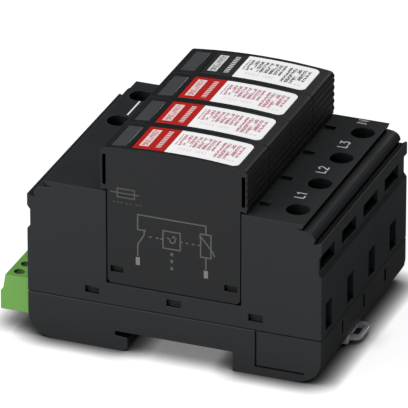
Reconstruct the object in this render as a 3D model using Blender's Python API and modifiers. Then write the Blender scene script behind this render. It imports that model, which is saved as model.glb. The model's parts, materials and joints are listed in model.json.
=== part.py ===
"""Pluggable four-module surge arrester for a 35 mm top-hat rail.

The frame sits at the middle of the rail seat: Z = 0 is the face that bears on the rail's flanges,
+Z points away from the rail, +Y runs along the rail and +X across it, towards the phase terminals.
"""
import math

import bmesh
import bpy
from mathutils import Matrix

MM = 0.001

# Driving sizes of the base
HOUSING_LENGTH = 90.0 * MM
MODULE_PITCH = 17.8 * MM
MODULE_COUNT = 4
FOOT_DEPTH = 6.0 * MM
SEAM_HEIGHT = 8.3 * MM
SHOULDER_HEIGHT = 44.3 * MM
LIP_INSET = 5.4 * MM
PART_GAP = 0.3 * MM
WALL = 2.0 * MM
END_WALL = 1.7 * MM

# Marker groove and ledges at the two ends of the base
LIP_HEIGHT = 1.4 * MM
LIP_SET_BACK = 0.6 * MM
UNDERCUT_DEPTH = 1.3 * MM
UNDERCUT_HEIGHT = 0.6 * MM
STRIP_DROP = 2.6 * MM
STRIP_SET_BACK = 2.0 * MM
LEDGE_DROP = 5.0 * MM
GROOVE_DROP = 8.7 * MM
GROOVE_HEIGHT = 7.4 * MM
GROOVE_DEPTH = 0.9 * MM
GROOVE_CHAMFER = 1.2 * MM

# Lower corner of the base and the rail slot
CORNER_HEIGHT = 7.2 * MM
CORNER_LENGTH = 8.5 * MM
RAIL_WIDTH = 35.0 * MM
RAIL_CLEARANCE = 0.5 * MM
RAIL_SHEET = 1.0 * MM
HOOK_LENGTH = 3.8 * MM
HOOK_LEAD_IN = 1.2 * MM

# Bay for the plugs
BAY_WIDTH = 41.2 * MM
BAY_FLOOR = 15.1 * MM
BAY_FLOOR_THICKNESS = 1.7 * MM

# Terminals
SCREW_INSET = 10.6 * MM
SHAFT_DIAMETER = 7.0 * MM
CHAMBER_WALL = 2.4 * MM
CHAMBER_LENGTH = 17.6 * MM
CHAMBER_FRONT_WALL = 0.9 * MM
CHAMBER_BACK_WALL = 1.7 * MM
CHAMBER_ROOF_THICKNESS = 7.3 * MM
WIRE_SLOT_WIDTH = 5.3 * MM
WIRE_SLOT_RISE = 1.45 * MM
WIRE_SLOT_HEIGHT = 8.7 * MM
COMB_SLOT_WIDTH = 11.7 * MM
COMB_SLOT_DROP = 9.7 * MM
COMB_SLOT_HEIGHT = 4.4 * MM
WIRE_SLOT_START = 3.55 * MM
COMB_SLOT_START = 1.05 * MM

# Terminal screw and rising cage
HEAD_DIAMETER = 6.4 * MM
HEAD_HEIGHT = 3.2 * MM
HEAD_RISE = 2.2 * MM
SHANK_DIAMETER = 4.7 * MM
DRIVE_SLOT_WIDTH = 1.0 * MM
DRIVE_SLOT_DEPTH = 1.4 * MM
DRIVE_SLOT_REACH = 2.3 * MM
CAGE_LENGTH = 10.0 * MM
CAGE_SIDE_GAP = 0.5 * MM
CAGE_SHEET = 1.3 * MM
CAGE_FLOOR_GAP = 0.55 * MM
CAGE_HEADROOM = 9.0 * MM
CAGE_NUT_THICKNESS = 2.6 * MM
THREAD_CLEARANCE = 0.2 * MM

# Current bars and spring contacts
BAR_THICKNESS = 1.4 * MM
BAR_WIDTH = 6.0 * MM
BAR_FLOOR_GAP = 0.4 * MM
BAR_RISER_GAP = 1.0 * MM
TONGUE_RISE = 0.6 * MM
TONGUE_END_GAP = 2.0 * MM
CONTACT_X = 14.2 * MM
CONTACT_LENGTH = 6.8 * MM
CONTACT_SHEET = 0.8 * MM
CONTACT_BOTTOM = 2.1 * MM
CONTACT_ROOF_GAP = 0.5 * MM
CONTACT_FLARE = 0.5 * MM
TRAY_REACH = 3.4 * MM
WELL_REACH = 1.0 * MM

# Rail catch and its spring
CATCH_Y = -3.0 * MM
CATCH_WIDTH = 10.4 * MM
CATCH_SHEET = 1.2 * MM
CATCH_TOP = -1.3 * MM
CATCH_BITE = 3.1 * MM
CATCH_STEP_INSET = 6.4 * MM
CATCH_STEP_DROP = 2.1 * MM
CATCH_REACH = 1.8 * MM
CATCH_EYE_LENGTH = 2.6 * MM
CATCH_EYE_WIDTH = 6.4 * MM
CATCH_WINDOW_START = 6.0 * MM
CATCH_WINDOW_END = 2.4 * MM
CATCH_WINDOW_WIDTH = 5.8 * MM
CATCH_EAR_START = 0.2 * MM
CATCH_EAR_LENGTH = 2.5 * MM
CATCH_EAR_WIDTH = 1.6 * MM
CATCH_EAR_RISE = 0.5 * MM
CATCH_EAR_DROP = 0.8 * MM
CATCH_TRAVEL = 4.0 * MM
SPRING_RADIUS = 1.85 * MM
SPRING_WIRE = 0.7 * MM
SPRING_TURNS = 6
SPRING_POST_INSET = 1.3 * MM
SPRING_POST_LENGTH = 1.2 * MM

# Plug
PLUG_WIDTH = 45.0 * MM
PLUG_RISE = 14.9 * MM
CROWN_RISE = 1.3 * MM
PLUG_WALL = 1.5 * MM
PLUG_CORNER = 1.5 * MM
PLUG_TOP_CORNER = 1.7 * MM
PLUG_ROOF = 4.2 * MM
GRIP_GAP = 0.4 * MM
GRIP_SLOPE = 0.3 * MM
GRIP_SLOT_OFFSET = 0.4 * MM
GRIP_SLOT_WIDTH = 1.0 * MM
GRIP_SLOT_RISE = 1.7 * MM
GRIP_SLOT_DROP = 3.3 * MM
RIB_COUNT = 5
RIB_DEPTH = 0.25 * MM
RIB_RISE = 0.9 * MM
RIB_PITCH = 2.2 * MM
LATCH_WINDOW_WIDTH = 4.3 * MM
LATCH_WINDOW_HEIGHT = 2.1 * MM
LATCH_WINDOW_DEPTH = 1.1 * MM
LATCH_WINDOW_INSET = 20.0 * MM
LATCH_WINDOW_RISE = 3.65 * MM
PANEL_WINDOW_INSET = 2.9 * MM
PANEL_WINDOW_RISE = 4.6 * MM
PANEL_WINDOW_SCALE = 0.9

# Label, status window and status flag
LABEL_LEFT_INSET = 9.3 * MM
LABEL_RIGHT_INSET = 3.7 * MM
LABEL_SIDE_INSET = 1.45 * MM
LABEL_CORNER = 1.8 * MM
LABEL_THICKNESS = 0.35 * MM
LABEL_GAP = 0.15 * MM
WINDOW_INSET = 2.7 * MM
WINDOW_LENGTH = 4.6 * MM
WINDOW_SIDE_INSET = 1.95 * MM
WINDOW_THICKNESS = 1.1 * MM
WINDOW_LEDGE = 1.7 * MM
FLAG_LENGTH = 9.0 * MM
FLAG_WIDTH = 9.6 * MM
FLAG_THICKNESS = 1.5 * MM
FLAG_STEM = 2.6 * MM

# Inner parts of a plug
FLOOR_THICKNESS = 2.0 * MM
BLADE_WIDTH = 6.4 * MM
BLADE_THICKNESS = 1.0 * MM
BLADE_CLEARANCE = 0.15 * MM
BLADE_REACH = 11.5 * MM
BLADE_FOOT = 5.4 * MM
VARISTOR_LEFT_INSET = 6.0 * MM
VARISTOR_RIGHT_INSET = 1.2 * MM
VARISTOR_SIDE_INSET = 0.65 * MM
VARISTOR_DROP = 5.5 * MM
VARISTOR_CORNER = 3.0 * MM
SPARK_GAP_RADIUS = 6.7 * MM
SPARK_GAP_LENGTH = 22.0 * MM
SPARK_GAP_RIM = 2.4 * MM
SPARK_GAP_WAIST = 0.8 * MM

# Remote signalling plug
REMOTE_INSET = 11.1 * MM
REMOTE_WIDTH = 17.0 * MM
REMOTE_TOP = 10.6 * MM
REMOTE_BOTTOM = -0.6 * MM
REMOTE_REACH = 9.6 * MM
REMOTE_STEP = 1.5 * MM
REMOTE_STEP_Z = 5.3 * MM
REMOTE_BODY_GAP = 0.4 * MM
REMOTE_NOSE_LENGTH = 6.7 * MM
REMOTE_NOSE_TOP = 8.0 * MM
REMOTE_NOSE_BOTTOM = 0.4 * MM
REMOTE_NOSE_WIDTH = 15.8 * MM
REMOTE_PITCH = 5.08 * MM
REMOTE_POLES = 3
REMOTE_SCREW_INSET = 4.6 * MM
REMOTE_SCREW_DIAMETER = 2.6 * MM
REMOTE_SCREW_DEPTH = 4.2 * MM
REMOTE_SCREW_SINK = 0.6 * MM
REMOTE_ENTRY = 3.2 * MM
REMOTE_ENTRY_Z = 2.4 * MM
REMOTE_ENTRY_DEPTH = 6.5 * MM
PIN_SIZE = 1.0 * MM
PIN_LENGTH = 4.0 * MM
HEADER_WALL = 1.5 * MM
SWITCH_LENGTH = 6.0 * MM
SWITCH_WIDTH = 13.0 * MM
SWITCH_HEIGHT = 6.5 * MM
SWITCH_LEVER = 0.5 * MM

# Small features of the mouldings
SIDE_MARK_WIDTH = 1.2 * MM
SIDE_MARK_BOTTOM = 2.5 * MM
SIDE_MARK_TOP = 6.5 * MM
SIDE_MARK_DEPTH = 0.9 * MM
FRAME_LINE_START = 6.8 * MM
FRAME_LINE_INSET = 5.1 * MM
FRAME_LINE_RISE = 2.7 * MM
FRAME_LINE_WIDTH = 0.6 * MM
FRAME_LINE_DEPTH = 0.5 * MM
TICK_START = 2.3 * MM
TICK_LENGTH = 3.3 * MM
TICK_WIDTH = 1.0 * MM
TICK_HEIGHT = 0.7 * MM

# Drawing quality
ROUND_SEGMENTS = 24
ARC_STEPS = 5
OVERCUT = 1.0 * MM
STRAIGHT_LIMIT = 1e-11
WELD_DISTANCE = 0.002 * MM

# Sizes worked out from the ones above
HALF_LENGTH = HOUSING_LENGTH / 2
HALF_WIDTH = MODULE_PITCH * MODULE_COUNT / 2
SEAM_HALF_GAP = PART_GAP / 2
FOOT_TOP = SEAM_HEIGHT - SEAM_HALF_GAP
HOUSING_BOTTOM = SEAM_HEIGHT + SEAM_HALF_GAP
LIP_X = HALF_LENGTH - LIP_INSET
GROOVE_TOP = SHOULDER_HEIGHT - GROOVE_DROP
GROOVE_BOTTOM = GROOVE_TOP - GROOVE_HEIGHT
SLOT_HALF = RAIL_WIDTH / 2 + RAIL_CLEARANCE
HOOK_TOP = -RAIL_SHEET - PART_GAP

SCREW_X = HALF_LENGTH - SCREW_INSET
CHAMBER_OUTER_X = HALF_LENGTH - CHAMBER_WALL
CHAMBER_INNER_X = CHAMBER_OUTER_X - CHAMBER_LENGTH
CHAMBER_FRONT = MODULE_PITCH / 2 - CHAMBER_FRONT_WALL
CHAMBER_BACK = MODULE_PITCH / 2 - CHAMBER_BACK_WALL
CHAMBER_ROOF = SHOULDER_HEIGHT - CHAMBER_ROOF_THICKNESS
WIRE_SLOT_BOTTOM = HOUSING_BOTTOM + WIRE_SLOT_RISE
WIRE_SLOT_TOP = WIRE_SLOT_BOTTOM + WIRE_SLOT_HEIGHT
COMB_SLOT_TOP = SHOULDER_HEIGHT - COMB_SLOT_DROP
COMB_SLOT_BOTTOM = COMB_SLOT_TOP - COMB_SLOT_HEIGHT
TONGUE_BOTTOM = WIRE_SLOT_TOP + TONGUE_RISE
TONGUE_END_X = CHAMBER_OUTER_X - TONGUE_END_GAP
HEAD_TOP = CHAMBER_ROOF + HEAD_RISE
SCREW_TIP = TONGUE_BOTTOM + BAR_THICKNESS + PART_GAP
CAGE_WIDTH = 2 * (CHAMBER_BACK - CAGE_SIDE_GAP)
CAGE_BOTTOM = FOOT_TOP + CAGE_FLOOR_GAP
CAGE_NUT_TOP = CHAMBER_ROOF - CAGE_HEADROOM

BAR_BOTTOM = FOOT_TOP + BAR_FLOOR_GAP
BAR_RISER_X = CHAMBER_INNER_X + BAR_RISER_GAP
CONTACT_HALF_GAP = BLADE_THICKNESS / 2 + BLADE_CLEARANCE
CONTACT_TOP = BAY_FLOOR - BAY_FLOOR_THICKNESS - CONTACT_ROOF_GAP
CROSS_LINK_Y = MODULE_PITCH * (MODULE_COUNT / 2 - 1)
TRAY_HALF_LENGTH = CHAMBER_INNER_X + TRAY_REACH
WELL_HALF_LENGTH = BAY_WIDTH / 2 + WELL_REACH

CATCH_NOSE_X = RAIL_WIDTH / 2 - CATCH_BITE
CATCH_STEP_X = HALF_LENGTH - CATCH_STEP_INSET
CATCH_END_X = HALF_LENGTH + CATCH_REACH
CATCH_WINDOW_START_X = SLOT_HALF + CATCH_WINDOW_START
CATCH_WINDOW_END_X = CATCH_STEP_X - CATCH_WINDOW_END
SPRING_POST_X = CATCH_WINDOW_END_X - SPRING_POST_INSET

PLUG_HALF = PLUG_WIDTH / 2
PLUG_BODY_HALF = BAY_WIDTH / 2 - PART_GAP
PLUG_THICKNESS = MODULE_PITCH - PART_GAP
PLUG_BOTTOM = BAY_FLOOR + PART_GAP
PLUG_CROWN = SHOULDER_HEIGHT + PLUG_RISE
PLUG_CAVITY_HALF_LENGTH = PLUG_BODY_HALF - PLUG_WALL
PLUG_CAVITY_HALF_WIDTH = PLUG_THICKNESS / 2 - PLUG_WALL
PLUG_CAVITY_TOP = PLUG_CROWN - PLUG_ROOF
GRIP_BOTTOM = SHOULDER_HEIGHT + GRIP_GAP
GRIP_SLOT_X = PLUG_BODY_HALF + GRIP_SLOT_OFFSET
GRIP_SLOT_BOTTOM = GRIP_BOTTOM + GRIP_SLOT_RISE
GRIP_SLOT_TOP = PLUG_CROWN - GRIP_SLOT_DROP
RIB_START = GRIP_BOTTOM + RIB_RISE
CROWN_RADIUS = (PLUG_HALF ** 2 + CROWN_RISE ** 2) / (2 * CROWN_RISE)
LABEL_LEFT_X = -PLUG_HALF + LABEL_LEFT_INSET
LABEL_RIGHT_X = PLUG_HALF - LABEL_RIGHT_INSET
LABEL_WIDTH = PLUG_THICKNESS - 2 * LABEL_SIDE_INSET
WINDOW_LEFT_X = -PLUG_HALF + WINDOW_INSET
WINDOW_WIDTH = PLUG_THICKNESS - 2 * WINDOW_SIDE_INSET
FLOOR_BOTTOM = PLUG_BOTTOM + PART_GAP
FLOOR_TOP = FLOOR_BOTTOM + FLOOR_THICKNESS
BLADE_TOP = FLOOR_TOP + PART_GAP + BLADE_THICKNESS
BLADE_TIP = PLUG_BOTTOM - BLADE_REACH
VARISTOR_LEFT_X = -PLUG_CAVITY_HALF_LENGTH + VARISTOR_LEFT_INSET
VARISTOR_RIGHT_X = PLUG_CAVITY_HALF_LENGTH - VARISTOR_RIGHT_INSET
VARISTOR_BOTTOM = BLADE_TOP + PART_GAP
VARISTOR_TOP = PLUG_CAVITY_TOP - VARISTOR_DROP
VARISTOR_WIDTH = 2 * (PLUG_CAVITY_HALF_WIDTH - VARISTOR_SIDE_INSET)

REMOTE_Y = -HALF_WIDTH + REMOTE_INSET
REMOTE_LEFT_X = -HALF_LENGTH - REMOTE_REACH
REMOTE_SCREW_X = REMOTE_LEFT_X + REMOTE_SCREW_INSET
REMOTE_BODY_X = -HALF_LENGTH - REMOTE_BODY_GAP
REMOTE_NOSE_X = REMOTE_BODY_X + REMOTE_NOSE_LENGTH
HEADER_X = REMOTE_NOSE_X + PART_GAP

LATCH_WINDOW_X = HALF_LENGTH - LATCH_WINDOW_INSET
LATCH_WINDOW_Z = HOUSING_BOTTOM + LATCH_WINDOW_RISE
PANEL_WINDOW_X = PLUG_BODY_HALF - PANEL_WINDOW_INSET
PANEL_WINDOW_Z = PLUG_BOTTOM + PANEL_WINDOW_RISE
FRAME_LINE_LEFT_X = SLOT_HALF + FRAME_LINE_START
FRAME_LINE_RIGHT_X = HALF_LENGTH - FRAME_LINE_INSET
FRAME_LINE_BOTTOM = -FOOT_DEPTH + FRAME_LINE_RISE
TICK_X = BAY_WIDTH / 2 + TICK_START
PHASE_NAMES = ("l1", "l2", "l3", "n")
EARTH_MODULES = (2, 3)


def module_y(index):
    """Middle of a module along the rail, counted from the front."""
    return (index - (MODULE_COUNT - 1) / 2) * MODULE_PITCH


def crown_z(x):
    """Height of the plug's crowned top above the rail seat."""
    return PLUG_CROWN - CROWN_RADIUS + math.sqrt(CROWN_RADIUS ** 2 - x ** 2)


# Scene and objects

def clear_scene():
    for existing in list(bpy.data.objects):
        bpy.data.objects.remove(existing, do_unlink=True)


def new_collection(name):
    collection = bpy.data.collections.new(name)
    bpy.context.scene.collection.children.link(collection)
    return collection


def material(name, colour, roughness, metallic=0.0, alpha=1.0):
    result = bpy.data.materials.new(name)
    result.use_nodes = True
    shader = result.node_tree.nodes["Principled BSDF"]
    shader.inputs["Base Color"].default_value = (*colour, 1.0)
    shader.inputs["Roughness"].default_value = roughness
    shader.inputs["Metallic"].default_value = metallic
    shader.inputs["Alpha"].default_value = alpha
    return result


def mesh_object(name, mesh, collection, location=(0.0, 0.0, 0.0)):
    result = bpy.data.objects.new(name, mesh)
    collection.objects.link(result)
    result.location = location
    return result


def mesh_from_bmesh(name, shape):
    mesh = bpy.data.meshes.new(name)
    shape.to_mesh(mesh)
    shape.free()
    return mesh


# Shapes

def box(low, high):
    """A box between its lowest and its highest corner."""
    shape = bmesh.new()
    bmesh.ops.create_cube(shape, size=1.0)
    size = [b - a for a, b in zip(low, high)]
    middle = [(a + b) / 2 for a, b in zip(low, high)]
    placing = Matrix.Translation(middle) @ Matrix.Diagonal((*size, 1.0))
    bmesh.ops.transform(shape, matrix=placing, verts=shape.verts)
    return mesh_from_bmesh("box", shape)


def upright_cylinder(radius, bottom, top, x=0.0, y=0.0):
    shape = bmesh.new()
    bmesh.ops.create_cone(
        shape, cap_ends=True, segments=ROUND_SEGMENTS, radius1=radius, radius2=radius, depth=top - bottom
    )
    bmesh.ops.translate(shape, vec=(x, y, (bottom + top) / 2), verts=shape.verts)
    return mesh_from_bmesh("cylinder", shape)


AXIS_TURNS = {
    "X": Matrix(((0, 0, 1, 0), (1, 0, 0, 0), (0, 1, 0, 0), (0, 0, 0, 1))),
    "Y": Matrix(((1, 0, 0, 0), (0, 0, -1, 0), (0, 1, 0, 0), (0, 0, 0, 1))),
    "Z": Matrix.Identity(4),
}


def corners_only(outline):
    """The outline without the points that lie on a straight run."""
    kept = []
    for index, (u, v) in enumerate(outline):
        before, after = outline[index - 1], outline[(index + 1) % len(outline)]
        turn = (u - before[0]) * (after[1] - v) - (v - before[1]) * (after[0] - u)
        if abs(turn) > STRAIGHT_LIMIT:
            kept.append((u, v))
    return kept


def prism(outline, low, high, axis="Y"):
    """A flat outline drawn out along an axis, as a closed mesh.

    The outline's points are (x, z) along Y, (y, z) along X and (x, y) along Z.
    """
    outline = corners_only(outline)
    curve = bpy.data.curves.new("outline", "CURVE")
    curve.dimensions = "2D"
    curve.fill_mode = "BOTH"
    curve.extrude = (high - low) / 2
    spline = curve.splines.new("POLY")
    spline.points.add(len(outline) - 1)
    for point, (u, v) in zip(spline.points, outline):
        point.co = (u, v, 0.0, 1.0)
    spline.use_cyclic_u = True
    holder = bpy.data.objects.new("outline", curve)
    bpy.context.scene.collection.objects.link(holder)
    bpy.context.view_layer.update()
    evaluated = holder.evaluated_get(bpy.context.evaluated_depsgraph_get())
    mesh = bpy.data.meshes.new_from_object(evaluated)
    bpy.data.objects.remove(holder, do_unlink=True)
    middle = (low + high) / 2
    shift = {"X": (middle, 0.0, 0.0), "Y": (0.0, middle, 0.0), "Z": (0.0, 0.0, middle)}[axis]
    mesh.transform(Matrix.Translation(shift) @ AXIS_TURNS[axis])
    shape = bmesh.new()
    shape.from_mesh(mesh)
    bmesh.ops.remove_doubles(shape, verts=shape.verts, dist=WELD_DISTANCE)
    bmesh.ops.recalc_face_normals(shape, faces=shape.faces)
    return mesh_from_bmesh("prism", shape)


def gather(meshes):
    """Several separate meshes as one mesh."""
    shape = bmesh.new()
    for mesh in meshes:
        shape.from_mesh(mesh)
    return mesh_from_bmesh("group", shape)


def arc(centre_x, centre_y, radius, start, end, steps=ARC_STEPS):
    """Points on an arc, angles in degrees."""
    points = []
    for step in range(steps + 1):
        angle = math.radians(start + (end - start) * step / steps)
        points.append((centre_x + radius * math.cos(angle), centre_y + radius * math.sin(angle)))
    return points


def rectangle(left, right, bottom, top):
    return [(left, bottom), (right, bottom), (right, top), (left, top)]


def rounded_rectangle(left, right, bottom, top, radius):
    return (
        arc(right - radius, bottom + radius, radius, -90, 0)
        + arc(right - radius, top - radius, radius, 0, 90)
        + arc(left + radius, top - radius, radius, 90, 180)
        + arc(left + radius, bottom + radius, radius, 180, 270)
    )


def mirrored(half):
    """A closed outline from its right half, which runs from the lower to the upper middle."""
    return half + [(-x, z) for x, z in reversed(half) if abs(x) > 1e-9]


def combine(name, body, operation, tools, parts, cutters):
    """Cut, join or intersect a mesh with each tool in turn, and return the finished mesh."""
    target = mesh_object(name, body, cutters)
    for index, tool in enumerate(tools):
        cutter = mesh_object(f"{name}_{operation.lower()}_{index}", tool, cutters)
        cutter.hide_render = True
        cutter.display_type = "WIRE"
        modifier = target.modifiers.new(f"{operation.lower()} {index}", "BOOLEAN")
        modifier.operation = operation
        modifier.solver = "EXACT"
        modifier.object = cutter
    bpy.context.view_layer.update()
    evaluated = target.evaluated_get(bpy.context.evaluated_depsgraph_get())
    mesh = bpy.data.meshes.new_from_object(evaluated)
    for used in [target, *[m.object for m in target.modifiers]]:
        bpy.data.objects.remove(used, do_unlink=True)
    shape = bmesh.new()
    shape.from_mesh(mesh)
    bmesh.ops.remove_doubles(shape, verts=shape.verts, dist=WELD_DISTANCE)
    return mesh_from_bmesh(name, shape)


class Workshop:
    """Keeps the two collections and the materials, and places finished meshes as parts."""

    def __init__(self):
        self.parts = new_collection("Surge arrester")
        self.cutters = new_collection("Cutters")
        self.materials = {
            "anthracite plastic": material("anthracite plastic", (0.035, 0.039, 0.043), 0.5),
            "plug plastic": material("plug plastic", (0.032, 0.034, 0.038), 0.45),
            "zinc plated steel": material("zinc plated steel", (0.62, 0.64, 0.66), 0.3, 1.0),
            "copper": material("copper", (0.72, 0.43, 0.30), 0.3, 1.0),
            "tinned copper": material("tinned copper", (0.70, 0.69, 0.66), 0.28, 1.0),
            "spring steel": material("spring steel", (0.45, 0.46, 0.48), 0.3, 1.0),
            "green plastic": material("green plastic", (0.15, 0.42, 0.09), 0.4),
            "black plastic": material("black plastic", (0.02, 0.02, 0.022), 0.4),
            "varistor coating": material("varistor coating", (0.05, 0.12, 0.35), 0.5),
            "ceramic": material("ceramic", (0.80, 0.78, 0.72), 0.35),
            "smoke window": material("smoke window", (0.16, 0.17, 0.19), 0.15, 0.0, 0.6),
            "flag green": material("flag green", (0.05, 0.45, 0.12), 0.5),
            "red label": material("red label", (0.75, 0.06, 0.04), 0.4),
            "black label": material("black label", (0.03, 0.03, 0.03), 0.4),
        }

    def place(self, name, mesh, material_name, location=(0.0, 0.0, 0.0), smooth=False):
        if not mesh.materials:
            mesh.materials.append(self.materials[material_name])
        mesh.materials[0] = self.materials[material_name]
        result = mesh_object(name, mesh, self.parts, location)
        if smooth:
            mesh.shade_smooth()
            mesh.set_sharp_from_angle(angle=math.radians(35))
        return result

    def cut(self, name, body, *tools):
        return combine(name, body, "DIFFERENCE", tools, self.parts, self.cutters)

    def join(self, name, body, *tools):
        return combine(name, body, "UNION", tools, self.parts, self.cutters)

    def overlap(self, name, body, tool):
        return combine(name, body, "INTERSECT", [tool], self.parts, self.cutters)


# Base housing

def shoulder_profile():
    """Right half of the housing's end view, from the bay's floor round to the seam."""
    lip_x = LIP_X
    lip_bottom = SHOULDER_HEIGHT - LIP_HEIGHT
    strip_top = lip_bottom - UNDERCUT_HEIGHT
    strip_radius_x = HALF_LENGTH - STRIP_SET_BACK - lip_x
    strip_bottom = strip_top - STRIP_DROP
    ledge = SHOULDER_HEIGHT - LEDGE_DROP
    half = [
        (0.0, BAY_FLOOR),
        (BAY_WIDTH / 2, BAY_FLOOR),
        (BAY_WIDTH / 2, SHOULDER_HEIGHT),
        (lip_x, SHOULDER_HEIGHT),
        (lip_x - LIP_SET_BACK, lip_bottom),
        (lip_x - LIP_SET_BACK - UNDERCUT_DEPTH, lip_bottom - UNDERCUT_HEIGHT / 2),
    ]
    for step in range(ARC_STEPS + 1):
        angle = math.radians(90 - 90 * step / ARC_STEPS)
        half.append((lip_x + strip_radius_x * math.cos(angle), strip_bottom + STRIP_DROP * math.sin(angle)))
    half += [
        (HALF_LENGTH - STRIP_SET_BACK - UNDERCUT_HEIGHT, ledge - UNDERCUT_HEIGHT),
        (HALF_LENGTH - STRIP_SET_BACK + UNDERCUT_HEIGHT, ledge - UNDERCUT_HEIGHT),
        (HALF_LENGTH - UNDERCUT_HEIGHT, ledge),
        (HALF_LENGTH, ledge),
        (HALF_LENGTH, GROOVE_TOP),
        (HALF_LENGTH - GROOVE_DEPTH, GROOVE_TOP - GROOVE_CHAMFER),
        (HALF_LENGTH - GROOVE_DEPTH, GROOVE_BOTTOM + GROOVE_CHAMFER),
        (HALF_LENGTH, GROOVE_BOTTOM),
        (HALF_LENGTH, HOUSING_BOTTOM),
        (0.0, HOUSING_BOTTOM),
    ]
    return half


def terminal_sides():
    """Every terminal as its name, its side (+1 right, -1 left) and its module."""
    sides = [(name, 1, index) for index, name in enumerate(PHASE_NAMES)]
    sides += [(f"pe{count + 1}", -1, index) for count, index in enumerate(EARTH_MODULES)]
    return sides


def side_box(side, x_inner, x_outer, y_low, y_high, bottom, top):
    """A box on the right (side 1) or the left (side -1) of the housing."""
    low_x, high_x = sorted((side * x_inner, side * x_outer))
    return box((low_x, y_low, bottom), (high_x, y_high, top))


def latch_windows(x_places, z, scale, half_thickness, y=0.0):
    """Shallow windows in the two end faces, where the mouldings latch together."""
    half = LATCH_WINDOW_WIDTH * scale / 2
    tall = LATCH_WINDOW_HEIGHT * scale / 2
    boxes = []
    for x in x_places:
        for side in (-1, 1):
            ends = sorted((y + side * (half_thickness - LATCH_WINDOW_DEPTH), y + side * (half_thickness + OVERCUT)))
            boxes.append(box((x - half, ends[0], z - tall), (x + half, ends[1], z + tall)))
    return boxes


def remote_pocket(bottom, top):
    """Space in the left wall that the remote signalling plug and its header take."""
    half = REMOTE_WIDTH / 2 + PART_GAP
    return box(
        (-HALF_LENGTH - OVERCUT, REMOTE_Y - half, bottom),
        (HEADER_X + HEADER_WALL + PART_GAP, REMOTE_Y + half, top),
    )


def make_base_housing(shop):
    outline = mirrored(shoulder_profile())
    body = prism(outline, -HALF_WIDTH, HALF_WIDTH)
    chambers = []
    openings = []
    for _, side, index in terminal_sides():
        y = module_y(index)
        front = max(y - CHAMBER_FRONT, -HALF_WIDTH + END_WALL)
        chambers.append(
            side_box(side, CHAMBER_INNER_X, CHAMBER_OUTER_X, front, y + CHAMBER_BACK,
                     HOUSING_BOTTOM - OVERCUT, CHAMBER_ROOF)
        )
        openings.append(
            upright_cylinder(SHAFT_DIAMETER / 2, CHAMBER_ROOF - OVERCUT, SHOULDER_HEIGHT + OVERCUT, side * SCREW_X, y)
        )
        module_front = y - MODULE_PITCH / 2
        for start, width, bottom, top in (
            (WIRE_SLOT_START, WIRE_SLOT_WIDTH, WIRE_SLOT_BOTTOM, WIRE_SLOT_TOP),
            (COMB_SLOT_START, COMB_SLOT_WIDTH, COMB_SLOT_BOTTOM, COMB_SLOT_TOP),
        ):
            slot_front = module_front + start
            openings.append(
                side_box(side, CHAMBER_OUTER_X - OVERCUT, HALF_LENGTH + OVERCUT,
                         slot_front, slot_front + width, bottom, top)
            )
    remote_back = module_y(1) + CHAMBER_BACK
    chambers.append(
        side_box(-1, CHAMBER_INNER_X, CHAMBER_OUTER_X, -HALF_WIDTH + WALL, remote_back,
                 HOUSING_BOTTOM - OVERCUT, CHAMBER_ROOF)
    )
    openings += latch_windows((-LATCH_WINDOW_X, 0.0, LATCH_WINDOW_X), LATCH_WINDOW_Z, 1.0, HALF_WIDTH)
    tray = box(
        (-TRAY_HALF_LENGTH, -HALF_WIDTH + WALL, HOUSING_BOTTOM - OVERCUT),
        (TRAY_HALF_LENGTH, HALF_WIDTH - WALL, BAY_FLOOR - BAY_FLOOR_THICKNESS),
    )
    blade_slots = []
    slot_half = CONTACT_LENGTH / 2 + PART_GAP
    slot_width = CONTACT_HALF_GAP + CONTACT_SHEET + CONTACT_FLARE
    for index in range(MODULE_COUNT):
        for side in (-1, 1):
            x, y = side * CONTACT_X, module_y(index)
            blade_slots.append(
                box((x - slot_half, y - slot_width, BAY_FLOOR - BAY_FLOOR_THICKNESS - OVERCUT),
                    (x + slot_half, y + slot_width, BAY_FLOOR + OVERCUT))
            )
    notch = remote_pocket(HOUSING_BOTTOM - OVERCUT, REMOTE_TOP + PART_GAP)
    cut = shop.cut("base_housing", body, gather(chambers), gather(openings), tray, gather(blade_slots), notch)
    ticks = [
        box((TICK_X, module_y(index) - TICK_WIDTH / 2, SHOULDER_HEIGHT - OVERCUT),
            (TICK_X + TICK_LENGTH, module_y(index) + TICK_WIDTH / 2, SHOULDER_HEIGHT + TICK_HEIGHT))
        for index in range(MODULE_COUNT)
    ]
    shop.place("base_housing", shop.join("base_housing", cut, gather(ticks)), "anthracite plastic")


# Base foot, rail catch and catch spring

def corner_points():
    """The rounded lower corner on the right, from the side wall to the underside."""
    centre_x = HALF_LENGTH - CORNER_LENGTH
    centre_z = -FOOT_DEPTH + CORNER_HEIGHT
    points = []
    for step in range(ARC_STEPS + 1):
        angle = math.radians(-90 * step / ARC_STEPS)
        points.append((centre_x + CORNER_LENGTH * math.cos(angle), centre_z + CORNER_HEIGHT * math.sin(angle)))
    return points


def foot_outline():
    right = corner_points()
    left = [(-x, z) for x, z in reversed(right)]
    hook_x = -SLOT_HALF + HOOK_LENGTH
    slot = [
        (SLOT_HALF, -FOOT_DEPTH),
        (SLOT_HALF, 0.0),
        (-SLOT_HALF, 0.0),
        (-SLOT_HALF, HOOK_TOP),
        (hook_x, HOOK_TOP - PART_GAP),
        (hook_x, -FOOT_DEPTH + HOOK_LEAD_IN),
        (hook_x - HOOK_LEAD_IN, -FOOT_DEPTH),
    ]
    return [(HALF_LENGTH, FOOT_TOP)] + right + slot + left + [(-HALF_LENGTH, FOOT_TOP)]


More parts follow.
